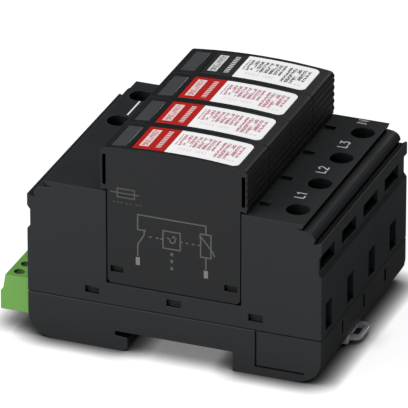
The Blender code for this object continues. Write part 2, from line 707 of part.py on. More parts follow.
def catch_profile():
    """Side view of the rail catch's sheet, stepped down before it leaves the foot."""
    top, low = CATCH_TOP, CATCH_TOP - CATCH_STEP_DROP
    step = CATCH_STEP_DROP
    return [
        (CATCH_NOSE_X, top - CATCH_SHEET),
        (CATCH_STEP_X, top - CATCH_SHEET),
        (CATCH_STEP_X + step, low - CATCH_SHEET),
        (CATCH_END_X, low - CATCH_SHEET),
        (CATCH_END_X, low),
        (CATCH_STEP_X + step + CATCH_SHEET / 2, low),
        (CATCH_STEP_X + CATCH_SHEET / 2, top),
        (CATCH_NOSE_X + CATCH_SHEET / 2, top),
        (CATCH_NOSE_X, top - CATCH_SHEET / 2),
    ]


def make_base_foot(shop):
    body = prism(foot_outline(), -HALF_WIDTH, HALF_WIDTH)
    well = box((-WELL_HALF_LENGTH, -HALF_WIDTH + WALL, CONTACT_BOTTOM - PART_GAP),
               (WELL_HALF_LENGTH, HALF_WIDTH - WALL, FOOT_TOP + OVERCUT))
    channel_half = CATCH_WIDTH / 2 + PART_GAP
    channel = box(
        (SLOT_HALF - OVERCUT, CATCH_Y - channel_half, CATCH_TOP - CATCH_SHEET - PART_GAP),
        (HALF_LENGTH + OVERCUT, CATCH_Y + channel_half, CATCH_TOP + PART_GAP),
    )
    mouth = box(
        (CATCH_STEP_X - PART_GAP, CATCH_Y - channel_half - CATCH_EAR_WIDTH, -FOOT_DEPTH - OVERCUT),
        (HALF_LENGTH + OVERCUT, CATCH_Y + channel_half, CATCH_TOP),
    )
    spring_half = SPRING_RADIUS + SPRING_WIRE / 2 + PART_GAP
    spring_z = CATCH_TOP - CATCH_SHEET / 2
    spring_room = box(
        (CATCH_WINDOW_START_X, CATCH_Y - spring_half, spring_z - spring_half),
        (SPRING_POST_X, CATCH_Y + spring_half, spring_z + spring_half),
    )
    marks = [
        box((HALF_LENGTH - SIDE_MARK_DEPTH, y - SIDE_MARK_WIDTH / 2, SIDE_MARK_BOTTOM),
            (HALF_LENGTH + OVERCUT, y + SIDE_MARK_WIDTH / 2, SIDE_MARK_TOP))
        for y in [module_y(index) + MODULE_PITCH / 2 for index in range(MODULE_COUNT - 1)]
    ]
    line_front, line_back = -HALF_WIDTH - OVERCUT, -HALF_WIDTH + FRAME_LINE_DEPTH
    line = prism(
        [
            (FRAME_LINE_LEFT_X, FRAME_LINE_BOTTOM),
            (FRAME_LINE_RIGHT_X, FRAME_LINE_BOTTOM),
            (FRAME_LINE_RIGHT_X, FRAME_LINE_BOTTOM + FRAME_LINE_WIDTH),
            (FRAME_LINE_LEFT_X + FRAME_LINE_WIDTH, FRAME_LINE_BOTTOM + FRAME_LINE_WIDTH),
            (FRAME_LINE_LEFT_X + FRAME_LINE_WIDTH, FOOT_TOP + OVERCUT),
            (FRAME_LINE_LEFT_X, FOOT_TOP + OVERCUT),
        ],
        line_front, line_back,
    )
    pocket = remote_pocket(REMOTE_NOSE_BOTTOM - PART_GAP, FOOT_TOP + OVERCUT)
    cut = shop.cut("base_foot", body, gather([well, *marks, line]), channel, mouth, spring_room, pocket)
    post_half = CATCH_WINDOW_WIDTH / 2 - PART_GAP
    post = box(
        (SPRING_POST_X, CATCH_Y - post_half, spring_z - spring_half - OVERCUT),
        (SPRING_POST_X + SPRING_POST_LENGTH, CATCH_Y + post_half, spring_z + spring_half + OVERCUT),
    )
    shop.place("base_foot", shop.join("base_foot", cut, post), "anthracite plastic")


def make_rail_catch(shop):
    half = CATCH_WIDTH / 2
    body = prism(catch_profile(), -half, half)
    plan = prism(
        [(CATCH_NOSE_X - OVERCUT, -half - OVERCUT)]
        + arc(CATCH_END_X - half / 2, -half + half / 2, half / 2, -90, 0)
        + arc(CATCH_END_X - half / 2, half - half / 2, half / 2, 0, 90)
        + [(CATCH_NOSE_X - OVERCUT, half + OVERCUT)],
        CATCH_TOP - CATCH_STEP_DROP - CATCH_SHEET - OVERCUT, CATCH_TOP + OVERCUT, "Z",
    )
    rounded = shop.overlap("rail_catch", body, plan)
    window = box(
        (CATCH_WINDOW_START_X, -CATCH_WINDOW_WIDTH / 2, CATCH_TOP - CATCH_SHEET - OVERCUT),
        (CATCH_WINDOW_END_X, CATCH_WINDOW_WIDTH / 2, CATCH_TOP + OVERCUT),
    )
    eye_end = CATCH_END_X - CATCH_SHEET
    eye = prism(
        rounded_rectangle(eye_end - CATCH_EYE_LENGTH, eye_end, -CATCH_EYE_WIDTH / 2, CATCH_EYE_WIDTH / 2, CATCH_SHEET / 2),
        CATCH_TOP - CATCH_STEP_DROP - CATCH_SHEET - OVERCUT, CATCH_TOP + OVERCUT, "Z",
    )
    low = CATCH_TOP - CATCH_STEP_DROP
    ear_start = CATCH_STEP_X + CATCH_STEP_DROP + CATCH_EAR_START
    ear = box(
        (ear_start, -half - CATCH_EAR_WIDTH, low - CATCH_SHEET - CATCH_EAR_DROP),
        (ear_start + CATCH_EAR_LENGTH, -half + CATCH_EAR_WIDTH / 2, low + CATCH_EAR_RISE),
    )
    mesh = shop.join("rail_catch", shop.cut("rail_catch", rounded, gather([window, eye])), ear)
    shop.place("rail_catch", mesh, "zinc plated steel", (0.0, CATCH_Y, 0.0))


def make_catch_spring(shop):
    """A coil between the catch's window and the post, with its axis along X."""
    start = CATCH_WINDOW_START_X + PART_GAP + SPRING_WIRE / 2
    end = SPRING_POST_X - PART_GAP - SPRING_WIRE / 2
    points_per_turn = 10
    count = SPRING_TURNS * points_per_turn
    curve = bpy.data.curves.new("catch_spring", "CURVE")
    curve.dimensions = "3D"
    curve.bevel_depth = SPRING_WIRE / 2
    curve.bevel_resolution = 1
    curve.use_fill_caps = True
    spline = curve.splines.new("POLY")
    spline.points.add(count)
    for step, point in enumerate(spline.points):
        angle = 2 * math.pi * step / points_per_turn
        point.co = (
            start + (end - start) * step / count,
            SPRING_RADIUS * math.cos(angle),
            SPRING_RADIUS * math.sin(angle),
            1.0,
        )
    curve.materials.append(shop.materials["spring steel"])
    spring = bpy.data.objects.new("catch_spring", curve)
    shop.parts.objects.link(spring)
    spring.location = (0.0, CATCH_Y, CATCH_TOP - CATCH_SHEET / 2)


# Terminals

def screw_mesh(shop):
    head = upright_cylinder(HEAD_DIAMETER / 2, HEAD_TOP - HEAD_HEIGHT, HEAD_TOP)
    shank = upright_cylinder(SHANK_DIAMETER / 2, SCREW_TIP, HEAD_TOP - HEAD_HEIGHT / 2)
    body = shop.join("terminal_screw", head, shank)
    half = DRIVE_SLOT_WIDTH / 2
    reach = DRIVE_SLOT_REACH
    bottom, top = HEAD_TOP - DRIVE_SLOT_DEPTH, HEAD_TOP + OVERCUT
    along = box((-reach, -half, bottom), (reach, half, top))
    across = box((-half, -reach, bottom), (half, reach, top))
    return shop.cut("terminal_screw", body, along, across)


def cage_mesh(shop):
    """A sheet ring, open along X, with a thick threaded top."""
    outer = rounded_rectangle(-CAGE_WIDTH / 2, CAGE_WIDTH / 2, CAGE_BOTTOM, CAGE_NUT_TOP, CAGE_SHEET)
    inner = rounded_rectangle(
        -CAGE_WIDTH / 2 + CAGE_SHEET, CAGE_WIDTH / 2 - CAGE_SHEET,
        CAGE_BOTTOM + CAGE_SHEET, CAGE_NUT_TOP - CAGE_NUT_THICKNESS, CAGE_SHEET / 2,
    )
    body = prism(outer, -CAGE_LENGTH / 2, CAGE_LENGTH / 2, "X")
    tunnel = prism(inner, -CAGE_LENGTH / 2 - OVERCUT, CAGE_LENGTH / 2 + OVERCUT, "X")
    thread = upright_cylinder(
        SHANK_DIAMETER / 2 + THREAD_CLEARANCE, CAGE_NUT_TOP - CAGE_NUT_THICKNESS - OVERCUT, CAGE_NUT_TOP + OVERCUT
    )
    return shop.cut("clamp_cage", body, tunnel, thread)


def make_terminals(shop):
    screw = screw_mesh(shop)
    cage = cage_mesh(shop)
    for name, side, index in terminal_sides():
        place = (side * SCREW_X, module_y(index), 0.0)
        shop.place(f"terminal_screw_{name}", screw, "zinc plated steel", place, smooth=True)
        shop.place(f"clamp_cage_{name}", cage, "zinc plated steel", place)


# Current bars

def spring_contact(side, y):
    """A folded two-leaf contact that takes a plug's blade."""
    gap, sheet = CONTACT_HALF_GAP, CONTACT_SHEET
    half = [
        (0.0, CONTACT_BOTTOM),
        (gap + sheet, CONTACT_BOTTOM),
        (gap + sheet, CONTACT_TOP - 2 * sheet),
        (gap + sheet + CONTACT_FLARE, CONTACT_TOP),
        (gap + CONTACT_FLARE, CONTACT_TOP),
        (gap, CONTACT_TOP - 2 * sheet),
        (gap, CONTACT_BOTTOM + BAR_THICKNESS),
        (0.0, CONTACT_BOTTOM + BAR_THICKNESS),
    ]
    outline = [(y + v, z) for v, z in mirrored(half)]
    return prism(outline, side * CONTACT_X - CONTACT_LENGTH / 2, side * CONTACT_X + CONTACT_LENGTH / 2, "X")


def riser_bar(side, y, start_x):
    """A bar from the contacts' level up to the tongue inside a terminal's cage."""
    bottom, sheet = BAR_BOTTOM, BAR_THICKNESS
    riser = BAR_RISER_X
    top = TONGUE_BOTTOM + sheet
    half = [
        (start_x, bottom),
        (riser + sheet, bottom),
        (riser + sheet, TONGUE_BOTTOM),
        (TONGUE_END_X, TONGUE_BOTTOM),
        (TONGUE_END_X, top),
        (riser, top),
        (riser, bottom + sheet),
        (start_x, bottom + sheet),
    ]
    outline = [(side * x, z) for x, z in half]
    return prism(outline, y - BAR_WIDTH / 2, y + BAR_WIDTH / 2)


def leaf_tab(side, y, reach):
    """A flat tab from a contact's outer end towards the terminal side."""
    start = CONTACT_X + CONTACT_LENGTH / 2 - CONTACT_SHEET
    outer = CONTACT_HALF_GAP + CONTACT_SHEET
    ends = sorted((side * start, side * reach))
    inset = PART_GAP / 3
    return box((ends[0], y - outer + inset, BAR_BOTTOM + inset),
               (ends[1], y - CONTACT_HALF_GAP - inset, BAR_BOTTOM + BAR_THICKNESS - inset))


def make_current_bars(shop):
    contact_end = CONTACT_X + CONTACT_LENGTH / 2
    bar_start = contact_end + PART_GAP
    reach = bar_start + BAR_THICKNESS
    for index, name in enumerate(PHASE_NAMES[:-1]):
        y = module_y(index)
        mesh = shop.join(f"contact_{name}", spring_contact(1, y), leaf_tab(1, y, reach), riser_bar(1, y, bar_start))
        shop.place(f"contact_{name}", mesh, "tinned copper")

    last = module_y(MODULE_COUNT - 1)
    strip_low, strip_high = bar_start, bar_start + BAR_WIDTH / 2
    strip = box(
        (-strip_high, module_y(0) - BAR_WIDTH / 2, BAR_BOTTOM),
        (-strip_low, CROSS_LINK_Y + BAR_THICKNESS, BAR_BOTTOM + BAR_THICKNESS),
    )
    cross = box(
        (-strip_high + PART_GAP, CROSS_LINK_Y - BAR_THICKNESS, BAR_BOTTOM + PART_GAP / 2),
        (strip_high - PART_GAP, CROSS_LINK_Y + BAR_THICKNESS / 2, BAR_BOTTOM + BAR_THICKNESS - PART_GAP / 2),
    )
    link = box(
        (strip_low + PART_GAP, CROSS_LINK_Y - BAR_THICKNESS - PART_GAP, BAR_BOTTOM + PART_GAP / 3),
        (strip_high, last - BAR_WIDTH / 4, BAR_BOTTOM + BAR_THICKNESS - PART_GAP / 3),
    )
    pieces = [spring_contact(-1, module_y(index)) for index in range(MODULE_COUNT - 1)]
    tabs = [leaf_tab(-1, module_y(index), reach) for index in range(MODULE_COUNT - 1)]
    neutral = shop.join(
        "neutral_bus_bar", gather([*pieces, spring_contact(1, last)]), gather([*tabs, leaf_tab(1, last, reach)]),
        strip, cross, link, riser_bar(1, last, bar_start),
    )
    shop.place("neutral_bus_bar", neutral, "tinned copper")

    first_earth = module_y(EARTH_MODULES[0])
    earth_strip = box(
        (-BAR_RISER_X - BAR_THICKNESS + PART_GAP / 2, first_earth - BAR_WIDTH / 4, BAR_BOTTOM + PART_GAP / 2),
        (-BAR_RISER_X - PART_GAP / 2, last + BAR_WIDTH / 4, BAY_FLOOR - BAY_FLOOR_THICKNESS - PART_GAP),
    )
    earth = shop.join(
        "earth_bus_bar", spring_contact(-1, last), leaf_tab(-1, last, reach), riser_bar(-1, last, bar_start),
        riser_bar(-1, first_earth, BAR_RISER_X - BAR_THICKNESS / 2), earth_strip,
    )
    shop.place("earth_bus_bar", earth, "tinned copper")


# Plugs

def plug_outline():
    half = [(0.0, PLUG_BOTTOM)]
    half += arc(PLUG_BODY_HALF - PLUG_CORNER, PLUG_BOTTOM + PLUG_CORNER, PLUG_CORNER, -90, 0)
    half += [(PLUG_BODY_HALF, GRIP_BOTTOM + GRIP_SLOPE), (PLUG_HALF - RIB_DEPTH, GRIP_BOTTOM)]
    for rib in range(RIB_COUNT):
        z = RIB_START + rib * RIB_PITCH
        half += [
            (PLUG_HALF - RIB_DEPTH, z),
            (PLUG_HALF, z + RIB_PITCH * 0.2),
            (PLUG_HALF, z + RIB_PITCH * 0.5),
            (PLUG_HALF - RIB_DEPTH, z + RIB_PITCH * 0.7),
        ]
    corner_x = PLUG_HALF - PLUG_TOP_CORNER
    corner_z = crown_z(corner_x) - PLUG_TOP_CORNER
    half += arc(corner_x, corner_z, PLUG_TOP_CORNER, 0, 75, 3)
    crown_steps = 8
    for step in range(1, crown_steps + 1):
        x = corner_x * (1 - step / crown_steps)
        half.append((x, crown_z(x)))
    return mirrored(half)


def crown_band(left, right, top_drop, bottom_drop):
    """Side view of a strip that follows the crown between two depths below it."""
    steps = 8
    places = [left + (right - left) * step / steps for step in range(steps + 1)]
    upper = [(x, crown_z(x) - top_drop) for x in places]
    lower = [(x, crown_z(x) - bottom_drop) for x in reversed(places)]
    return upper + lower


def label_plan(margin):
    left, right = LABEL_LEFT_X - margin, LABEL_RIGHT_X + margin
    half = LABEL_WIDTH / 2 + margin
    radius = LABEL_CORNER + margin
    return [(left, -half)] + arc(right - radius, -half + radius, radius, -90, 0) \
        + arc(right - radius, half - radius, radius, 0, 90) + [(left, half)]


def label_slab(shop, margin, top_drop, bottom_drop):
    """The label's plate, or with a margin the recess that it lies in."""
    reach = LABEL_RIGHT_X - LABEL_LEFT_X
    band = prism(
        crown_band(LABEL_LEFT_X - reach / 4, LABEL_RIGHT_X + reach / 16, top_drop, bottom_drop),
        -LABEL_WIDTH, LABEL_WIDTH,
    )
    column = prism(label_plan(margin), PLUG_CAVITY_TOP, PLUG_CROWN + 2 * OVERCUT, "Z")
    return shop.overlap("label", band, column)


def case_mesh(shop):
    half = PLUG_THICKNESS / 2
    body = prism(plug_outline(), -half, half)
    cavity = box(
        (-PLUG_CAVITY_HALF_LENGTH, -PLUG_CAVITY_HALF_WIDTH, PLUG_BOTTOM - OVERCUT),
        (PLUG_CAVITY_HALF_LENGTH, PLUG_CAVITY_HALF_WIDTH, PLUG_CAVITY_TOP),
    )
    grips = []
    for side in (-1, 1):
        ends = sorted((side * GRIP_SLOT_X, side * (GRIP_SLOT_X + GRIP_SLOT_WIDTH)))
        grips.append(box((ends[0], -half - OVERCUT, GRIP_SLOT_BOTTOM), (ends[1], half + OVERCUT, GRIP_SLOT_TOP)))
    recess = label_slab(shop, LABEL_GAP, -OVERCUT, LABEL_THICKNESS + LABEL_GAP)
    window_depth = WINDOW_THICKNESS + 2 * LABEL_GAP
    seat = prism(
        crown_band(WINDOW_LEFT_X - LABEL_GAP, WINDOW_LEFT_X + WINDOW_LENGTH + LABEL_GAP, -OVERCUT, window_depth),
        -WINDOW_WIDTH / 2 - LABEL_GAP, WINDOW_WIDTH / 2 + LABEL_GAP,
    )
    sight = box(
        (WINDOW_LEFT_X + WINDOW_LEDGE, -WINDOW_WIDTH / 2 + WINDOW_LEDGE, PLUG_CAVITY_TOP - OVERCUT),
        (WINDOW_LEFT_X + WINDOW_LENGTH - PART_GAP, WINDOW_WIDTH / 2 - WINDOW_LEDGE, PLUG_CROWN - OVERCUT),
    )
    windows = latch_windows((-PANEL_WINDOW_X, PANEL_WINDOW_X), PANEL_WINDOW_Z, PANEL_WINDOW_SCALE, half)
    return shop.cut("plug_case", body, gather([cavity, *grips, recess, seat, *windows]), sight)


def blade_mesh():
    half = BLADE_THICKNESS / 2
    outline = [
        (-half / 3, BLADE_TIP), (half / 3, BLADE_TIP), (half, BLADE_TIP + BLADE_THICKNESS),
        (half, BLADE_TOP - BLADE_THICKNESS), (BLADE_FOOT, BLADE_TOP - BLADE_THICKNESS),
        (BLADE_FOOT, BLADE_TOP), (-half, BLADE_TOP), (-half, BLADE_TIP + BLADE_THICKNESS),
    ]
    return prism(outline, -BLADE_WIDTH / 2, BLADE_WIDTH / 2, "X")


def floor_mesh(shop):
    half_x = PLUG_CAVITY_HALF_LENGTH - PART_GAP
    half_y = PLUG_CAVITY_HALF_WIDTH - PART_GAP
    plate = box((-half_x, -half_y, FLOOR_BOTTOM), (half_x, half_y, FLOOR_TOP))
    slot_x = BLADE_WIDTH / 2 + PART_GAP
    slot_y = BLADE_THICKNESS / 2 + PART_GAP
    slots = [
        box((side * CONTACT_X - slot_x, -slot_y, FLOOR_BOTTOM - OVERCUT),
            (side * CONTACT_X + slot_x, slot_y, FLOOR_TOP + OVERCUT))
        for side in (-1, 1)
    ]
    return shop.cut("plug_floor", plate, gather(slots))


def varistor_mesh():
    outline = rounded_rectangle(
        VARISTOR_LEFT_X, VARISTOR_RIGHT_X, VARISTOR_BOTTOM, VARISTOR_TOP, VARISTOR_CORNER
    )
    return prism(outline, -VARISTOR_WIDTH / 2, VARISTOR_WIDTH / 2)


def spark_gap_mesh():
    """A turned gas tube with a metal rim at each end, its axis along X."""
    half, rim, radius = SPARK_GAP_LENGTH / 2, SPARK_GAP_RIM, SPARK_GAP_RADIUS
    waist = radius - SPARK_GAP_WAIST
    profile = [(0.0, half), (radius, half), (radius, half - rim), (waist, half - rim),
               (waist, -half + rim), (radius, -half + rim), (radius, -half), (0.0, -half)]
    mesh = bpy.data.meshes.new("spark_gap_profile")
    mesh.from_pydata([(x, 0.0, z) for x, z in profile], [(i, i + 1) for i in range(len(profile) - 1)], [])
    holder = bpy.data.objects.new("spark_gap_profile", mesh)
    bpy.context.scene.collection.objects.link(holder)
    turn = holder.modifiers.new("turn", "SCREW")
    turn.steps = ROUND_SEGMENTS
    turn.render_steps = ROUND_SEGMENTS
    turn.use_merge_vertices = True
    turn.merge_threshold = 0.00001
    bpy.context.view_layer.update()
    evaluated = holder.evaluated_get(bpy.context.evaluated_depsgraph_get())
    turned = bpy.data.meshes.new_from_object(evaluated)
    bpy.data.objects.remove(holder, do_unlink=True)
    turned.transform(Matrix.Rotation(math.radians(90), 4, "Y"))
    return turned


def flag_mesh():
    top = PLUG_CAVITY_TOP - PART_GAP
    left = -PLUG_CAVITY_HALF_LENGTH + PART_GAP
    stem = left + FLAG_STEM
    outline = [
        (left, top - FLAG_THICKNESS), (stem, top - FLAG_THICKNESS),
        (stem, top - FLAG_THICKNESS - FLAG_STEM), (stem + FLAG_THICKNESS, top - FLAG_THICKNESS - FLAG_STEM),
        (stem + FLAG_THICKNESS, top - FLAG_THICKNESS), (left + FLAG_LENGTH, top - FLAG_THICKNESS),
        (left + FLAG_LENGTH, top), (left, top),
    ]
    return prism(outline, -FLAG_WIDTH / 2, FLAG_WIDTH / 2)


def window_mesh():
    outline = crown_band(WINDOW_LEFT_X, WINDOW_LEFT_X + WINDOW_LENGTH, LABEL_GAP, LABEL_GAP + WINDOW_THICKNESS)
    return prism(outline, -WINDOW_WIDTH / 2, WINDOW_WIDTH / 2)


def make_plugs(shop):
    case = case_mesh(shop)
    floor = floor_mesh(shop)
    blade = blade_mesh()
    varistor = varistor_mesh()
    flag = flag_mesh()
    window = window_mesh()
    label = label_slab(shop, 0.0, 0.0, LABEL_THICKNESS)
    for index in range(MODULE_COUNT):
        number = index + 1
        place = (0.0, module_y(index), 0.0)
        shop.place(f"plug_case_{number}", case, "plug plastic", place)
        shop.place(f"plug_floor_{number}", floor, "black plastic", place)
        for side, side_name in ((-1, "left"), (1, "right")):
            blade_place = (side * CONTACT_X, module_y(index), 0.0)
            shop.place(f"blade_{side_name}_{number}", blade, "copper", blade_place)
        shop.place(f"status_flag_{number}", flag, "flag green", place)
        shop.place(f"status_window_{number}", window, "smoke window", place)
        if number < MODULE_COUNT:
            shop.place(f"varistor_{number}", varistor, "varistor coating", place)
            shop.place(f"plug_label_{number}", label, "red label", place)
        else:
            middle = (VARISTOR_LEFT_X + VARISTOR_RIGHT_X) / 2
            gap_place = (middle, module_y(index), VARISTOR_BOTTOM + SPARK_GAP_RADIUS)
            shop.place(f"spark_gap_{number}", spark_gap_mesh(), "ceramic", gap_place, smooth=True)
            shop.place(f"plug_label_{number}", label.copy(), "black label", place)


# Remote signalling

def pole_places():
    return [REMOTE_Y + (pole - (REMOTE_POLES - 1) / 2) * REMOTE_PITCH for pole in range(REMOTE_POLES)]


def make_remote_plug(shop):
    left, right, nose = REMOTE_LEFT_X, REMOTE_BODY_X, REMOTE_NOSE_X
    outline = [
        (left, REMOTE_BOTTOM), (right, REMOTE_BOTTOM), (right, REMOTE_TOP),
        (left + REMOTE_STEP, REMOTE_TOP), (left + REMOTE_STEP / 2, REMOTE_STEP_Z + REMOTE_STEP / 2),
        (left, REMOTE_STEP_Z),
    ]
    body = prism(outline, REMOTE_Y - REMOTE_WIDTH / 2, REMOTE_Y + REMOTE_WIDTH / 2)
    plug_in = box(
        (right - OVERCUT, REMOTE_Y - REMOTE_NOSE_WIDTH / 2, REMOTE_NOSE_BOTTOM),
        (nose, REMOTE_Y + REMOTE_NOSE_WIDTH / 2, REMOTE_NOSE_TOP),
    )
    joined = shop.join("remote_plug", body, plug_in)
    middle_z = (REMOTE_NOSE_TOP + REMOTE_NOSE_BOTTOM) / 2
    socket = PIN_SIZE / 2 + PART_GAP
    holes = []
    for y in pole_places():
        holes.append(box((left - OVERCUT, y - REMOTE_ENTRY / 2, REMOTE_ENTRY_Z - REMOTE_ENTRY / 2),
                         (left + REMOTE_ENTRY_DEPTH, y + REMOTE_ENTRY / 2, REMOTE_ENTRY_Z + REMOTE_ENTRY / 2)))
        holes.append(upright_cylinder(REMOTE_SCREW_DIAMETER / 2 + PART_GAP, REMOTE_TOP - REMOTE_SCREW_DEPTH - PART_GAP,
                                      REMOTE_TOP + OVERCUT, REMOTE_SCREW_X, y))
        holes.append(box((nose - PIN_LENGTH - PART_GAP, y - socket, middle_z - socket),
                         (nose + OVERCUT, y + socket, middle_z + socket)))
    shop.place("remote_plug", shop.cut("remote_plug", joined, gather(holes)), "green plastic")

    for number, y in enumerate(pole_places(), start=1):
        top = REMOTE_TOP - REMOTE_SCREW_SINK
        head = upright_cylinder(REMOTE_SCREW_DIAMETER / 2, REMOTE_TOP - REMOTE_SCREW_DEPTH, top, REMOTE_SCREW_X, y)
        slot = box((REMOTE_SCREW_X - REMOTE_SCREW_DIAMETER, y - SWITCH_LEVER / 2, top - SWITCH_LEVER),
                   (REMOTE_SCREW_X + REMOTE_SCREW_DIAMETER, y + SWITCH_LEVER / 2, top + OVERCUT))
        screw = shop.cut("remote_screw", head, slot)
        shop.place(f"remote_screw_{number}", screw, "zinc plated steel", smooth=True)

    wall = box((HEADER_X, REMOTE_Y - REMOTE_NOSE_WIDTH / 2, REMOTE_NOSE_BOTTOM),
               (HEADER_X + HEADER_WALL, REMOTE_Y + REMOTE_NOSE_WIDTH / 2, REMOTE_NOSE_TOP))
    pins = [
        box((nose - PIN_LENGTH, y - PIN_SIZE / 2, middle_z - PIN_SIZE / 2),
            (HEADER_X + HEADER_WALL / 2, y + PIN_SIZE / 2, middle_z + PIN_SIZE / 2))
        for y in pole_places()
    ]
    shop.place("remote_header", shop.join("remote_header", wall, gather(pins)), "black plastic")

    switch_left = -CHAMBER_INNER_X - PART_GAP - SWITCH_LENGTH
    bottom = HOUSING_BOTTOM
    switch_profile = [
        (switch_left, bottom), (switch_left + SWITCH_LENGTH, bottom),
        (switch_left + SWITCH_LENGTH, bottom + SWITCH_HEIGHT),
        (switch_left + SWITCH_LENGTH / 3, bottom + SWITCH_HEIGHT),
        (switch_left, bottom + SWITCH_HEIGHT - SWITCH_LEVER),
    ]
    switch = prism(switch_profile, REMOTE_Y - SWITCH_WIDTH / 2, REMOTE_Y + SWITCH_WIDTH / 2)
    shop.place("remote_switch", switch, "black plastic")


def main():
    clear_scene()
    shop = Workshop()
    make_base_housing(shop)
    make_base_foot(shop)
    make_rail_catch(shop)
    make_catch_spring(shop)
    make_terminals(shop)
    make_current_bars(shop)
    make_plugs(shop)
    make_remote_plug(shop)


main()
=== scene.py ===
"""Looks of the surge arrester: plastics, metals, printed marks, soft studio light and the camera.

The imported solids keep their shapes. They get soft edges and their finishes here, and the printed
marks ride on the bodies that carry them. All places are in metres, in the frame of the solids.
"""
import json
import math

import bmesh
import bpy
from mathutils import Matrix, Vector


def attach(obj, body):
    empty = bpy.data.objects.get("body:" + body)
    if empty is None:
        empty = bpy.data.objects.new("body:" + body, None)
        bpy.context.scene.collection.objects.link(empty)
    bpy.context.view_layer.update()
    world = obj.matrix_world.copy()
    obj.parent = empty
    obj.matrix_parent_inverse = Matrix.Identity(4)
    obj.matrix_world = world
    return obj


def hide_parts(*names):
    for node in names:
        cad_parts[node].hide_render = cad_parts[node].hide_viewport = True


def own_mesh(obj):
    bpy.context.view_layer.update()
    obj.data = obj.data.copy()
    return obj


MM = 0.001

# Camera, with its focal length in pixels of the square picture
CAMERA_AZIMUTH = 21.17
CAMERA_ELEVATION = 26.34
CAMERA_DISTANCE = 2.05855
CAMERA_PIXELS = 7123.0
CAMERA_CLIP = (0.05, 50.0)
IMAGE_SIZE = 408
SENSOR = 36.0
AIM_POINT = (0.0, 0.0, 19.0 * MM)
AIM_PIXEL = (218.36, 230.29)

# Places on the object
FLOOR_Z = -6.0 * MM
MODULE_PITCH = 17.8 * MM
SHOULDER_Z = 44.3 * MM
PANEL_Y = -35.45 * MM

# Prints
PRINT_LIFT = 0.02 * MM
PRINT_STEP = 0.002 * MM
LINE_WIDTH = 0.40 * MM
MITRE_LIMIT = 0.8
MARK_X = 33.4 * MM
MARK_Y = {"L1": 8.6 * MM, "L2": 8.6 * MM, "L3": 8.6 * MM, "N": 6.8 * MM}
MARK_SPACING = 0.55 * MM
MARK_STROKE = 0.46 * MM
BAR_WIDTH = 0.5 * MM

# Soft edges
JOIN_REACH = 0.001 * MM
FLAT_ANGLE = math.radians(1.0)
EDGE_ANGLE = math.radians(40)
EDGE_ROOM = 1.15
EDGE_SEGMENTS = 2
CORNER_DECIMALS = 3

# Painted shade: darkening of a piece's own holes and slots, between two shares of open view
PAINTED_SHADE_REACH = 7.0 * MM
PAINTED_SHADE_TONE = 0.06
PAINTED_SHADE_VIEW = (0.85, 0.50)

# Spans of the values that noise takes: most of them, and those that show as specks
NOISE_SPAN = (0.3, 0.7)
SPECK_SPAN = (0.35, 0.7)

# Stage
FLOOR_REACH = 6.0
FLOOR_SHADE = 0.8
FLOOR_SEEN_SHADE = 0.2
FLOOR_GLOW = 0.88
FLOOR_MIRROR_SHADE = 0.64
FLOOR_MIRROR_DARK = 0.21
FLOOR_FRONT = (-34.0 * MM, -60.0 * MM)
# Painted contact shadow on the floor: how far it reaches, and the power that narrows it
PAINTED_SHADOW_REACH = 7.5 * MM
PAINTED_SHADOW_POWER = 3.4
WORLD_LIGHT = 0.5
WORLD_MIRROR = 0.03
LIGHT_AIM = (0.0, 0.0, 0.02)

# Colours, in linear light
HOUSING = (0.0122, 0.0156, 0.0184)
FOOT = (0.0135, 0.0152, 0.0172)
PLUG = (0.0100, 0.0108, 0.0120)
INNER_BLACK = (0.02, 0.02, 0.022)
GREEN_POLYAMIDE = (0.137, 0.335, 0.068)
ZINC = (0.50, 0.51, 0.54)
SHADED_SCREW_STEEL = (0.15, 0.18, 0.14)
COPPER = (0.72, 0.43, 0.30)
# Steel of the green plug's screws, darkened and tinted green: painted shade of the holes they sit
# in
TIN = (0.62, 0.61, 0.58)
SPRING_STEEL = (0.45, 0.46, 0.48)
VARISTOR_BLUE = (0.05, 0.12, 0.35)
GLAZED_CERAMIC = (0.75, 0.73, 0.67)
FLAG_GREEN = (0.05, 0.40, 0.12)
WINDOW_DARK = (0.048, 0.050, 0.055)
WINDOW_PALE = (0.064, 0.067, 0.072)
LABEL_RED = (0.47, 0.004, 0.001)
LABEL_BLACK = (0.022, 0.022, 0.024)
LABEL_PALE = (0.92, 0.92, 0.93)
RED_INK = (0.52, 0.21, 0.26)
BLACK_INK = (0.14, 0.14, 0.15)
PRINT_GREY = (0.088, 0.089, 0.085)
PRINT_FAINT = (0.062, 0.063, 0.062)
PRINT_DARK = (0.0055, 0.0060, 0.0065)
PRINT_PAD = (0.185, 0.183, 0.160)
PRINT_WHITE = (0.66, 0.68, 0.74)
BAR_BRIGHT = (0.88, 0.89, 0.90)

# The label's coloured field, with lengths in millimetres: a framed bar with a woven middle, and
# a row of plain strokes
LABEL_FIELD_END = -3.3
LABEL_SIDE = 5.6
BAR_FRAME = (-11.7, -8.9)
BAR_INSIDE = (-11.25, -9.35)
BAR_INSIDE_SIDE = 5.2
WEAVE_CELL = (0.62, 0.48)
WEAVE_FILL = 0.5
WEAVE_SEED = 5.3
WEAVE_DARK = 0.5
WEAVE_BASE = 0.12
STROKE_ROW = (-6.75, -5.25)
STROKE_PITCH = 1.22
STROKE_SHARE = 0.66
STROKE_INK = 0.8

# The label's white part, in millimetres: each block of fine marks has a span along X and along
# Y, a row pitch and the widths of a letter and a word, then an inked share, a seed, a strength
LABEL_BLOCKS = (
    ((-2.3, 9.4), (-2.0, 5.1), 1.45, 0.34, 1.9, 0.70, 7.3, 1.0),
    ((10.4, 16.9), (-5.0, 4.9), 1.5, 0.38, 2.4, 0.72, 1.9, 1.0),
    ((-1.0, 8.2), (-4.9, -3.2), 0.9, 0.28, 1.2, 0.5, 4.1, 0.35),
)
LETTER_PARTS = 5
LETTER_FILL = 0.80
WORD_FILL = 0.94
WORD_SEED_STEP = 3.7
WHOLE_ROW = 1.1
INK_COVER = 0.92
WHITE_INK_COVER = 0.72


# Nodes

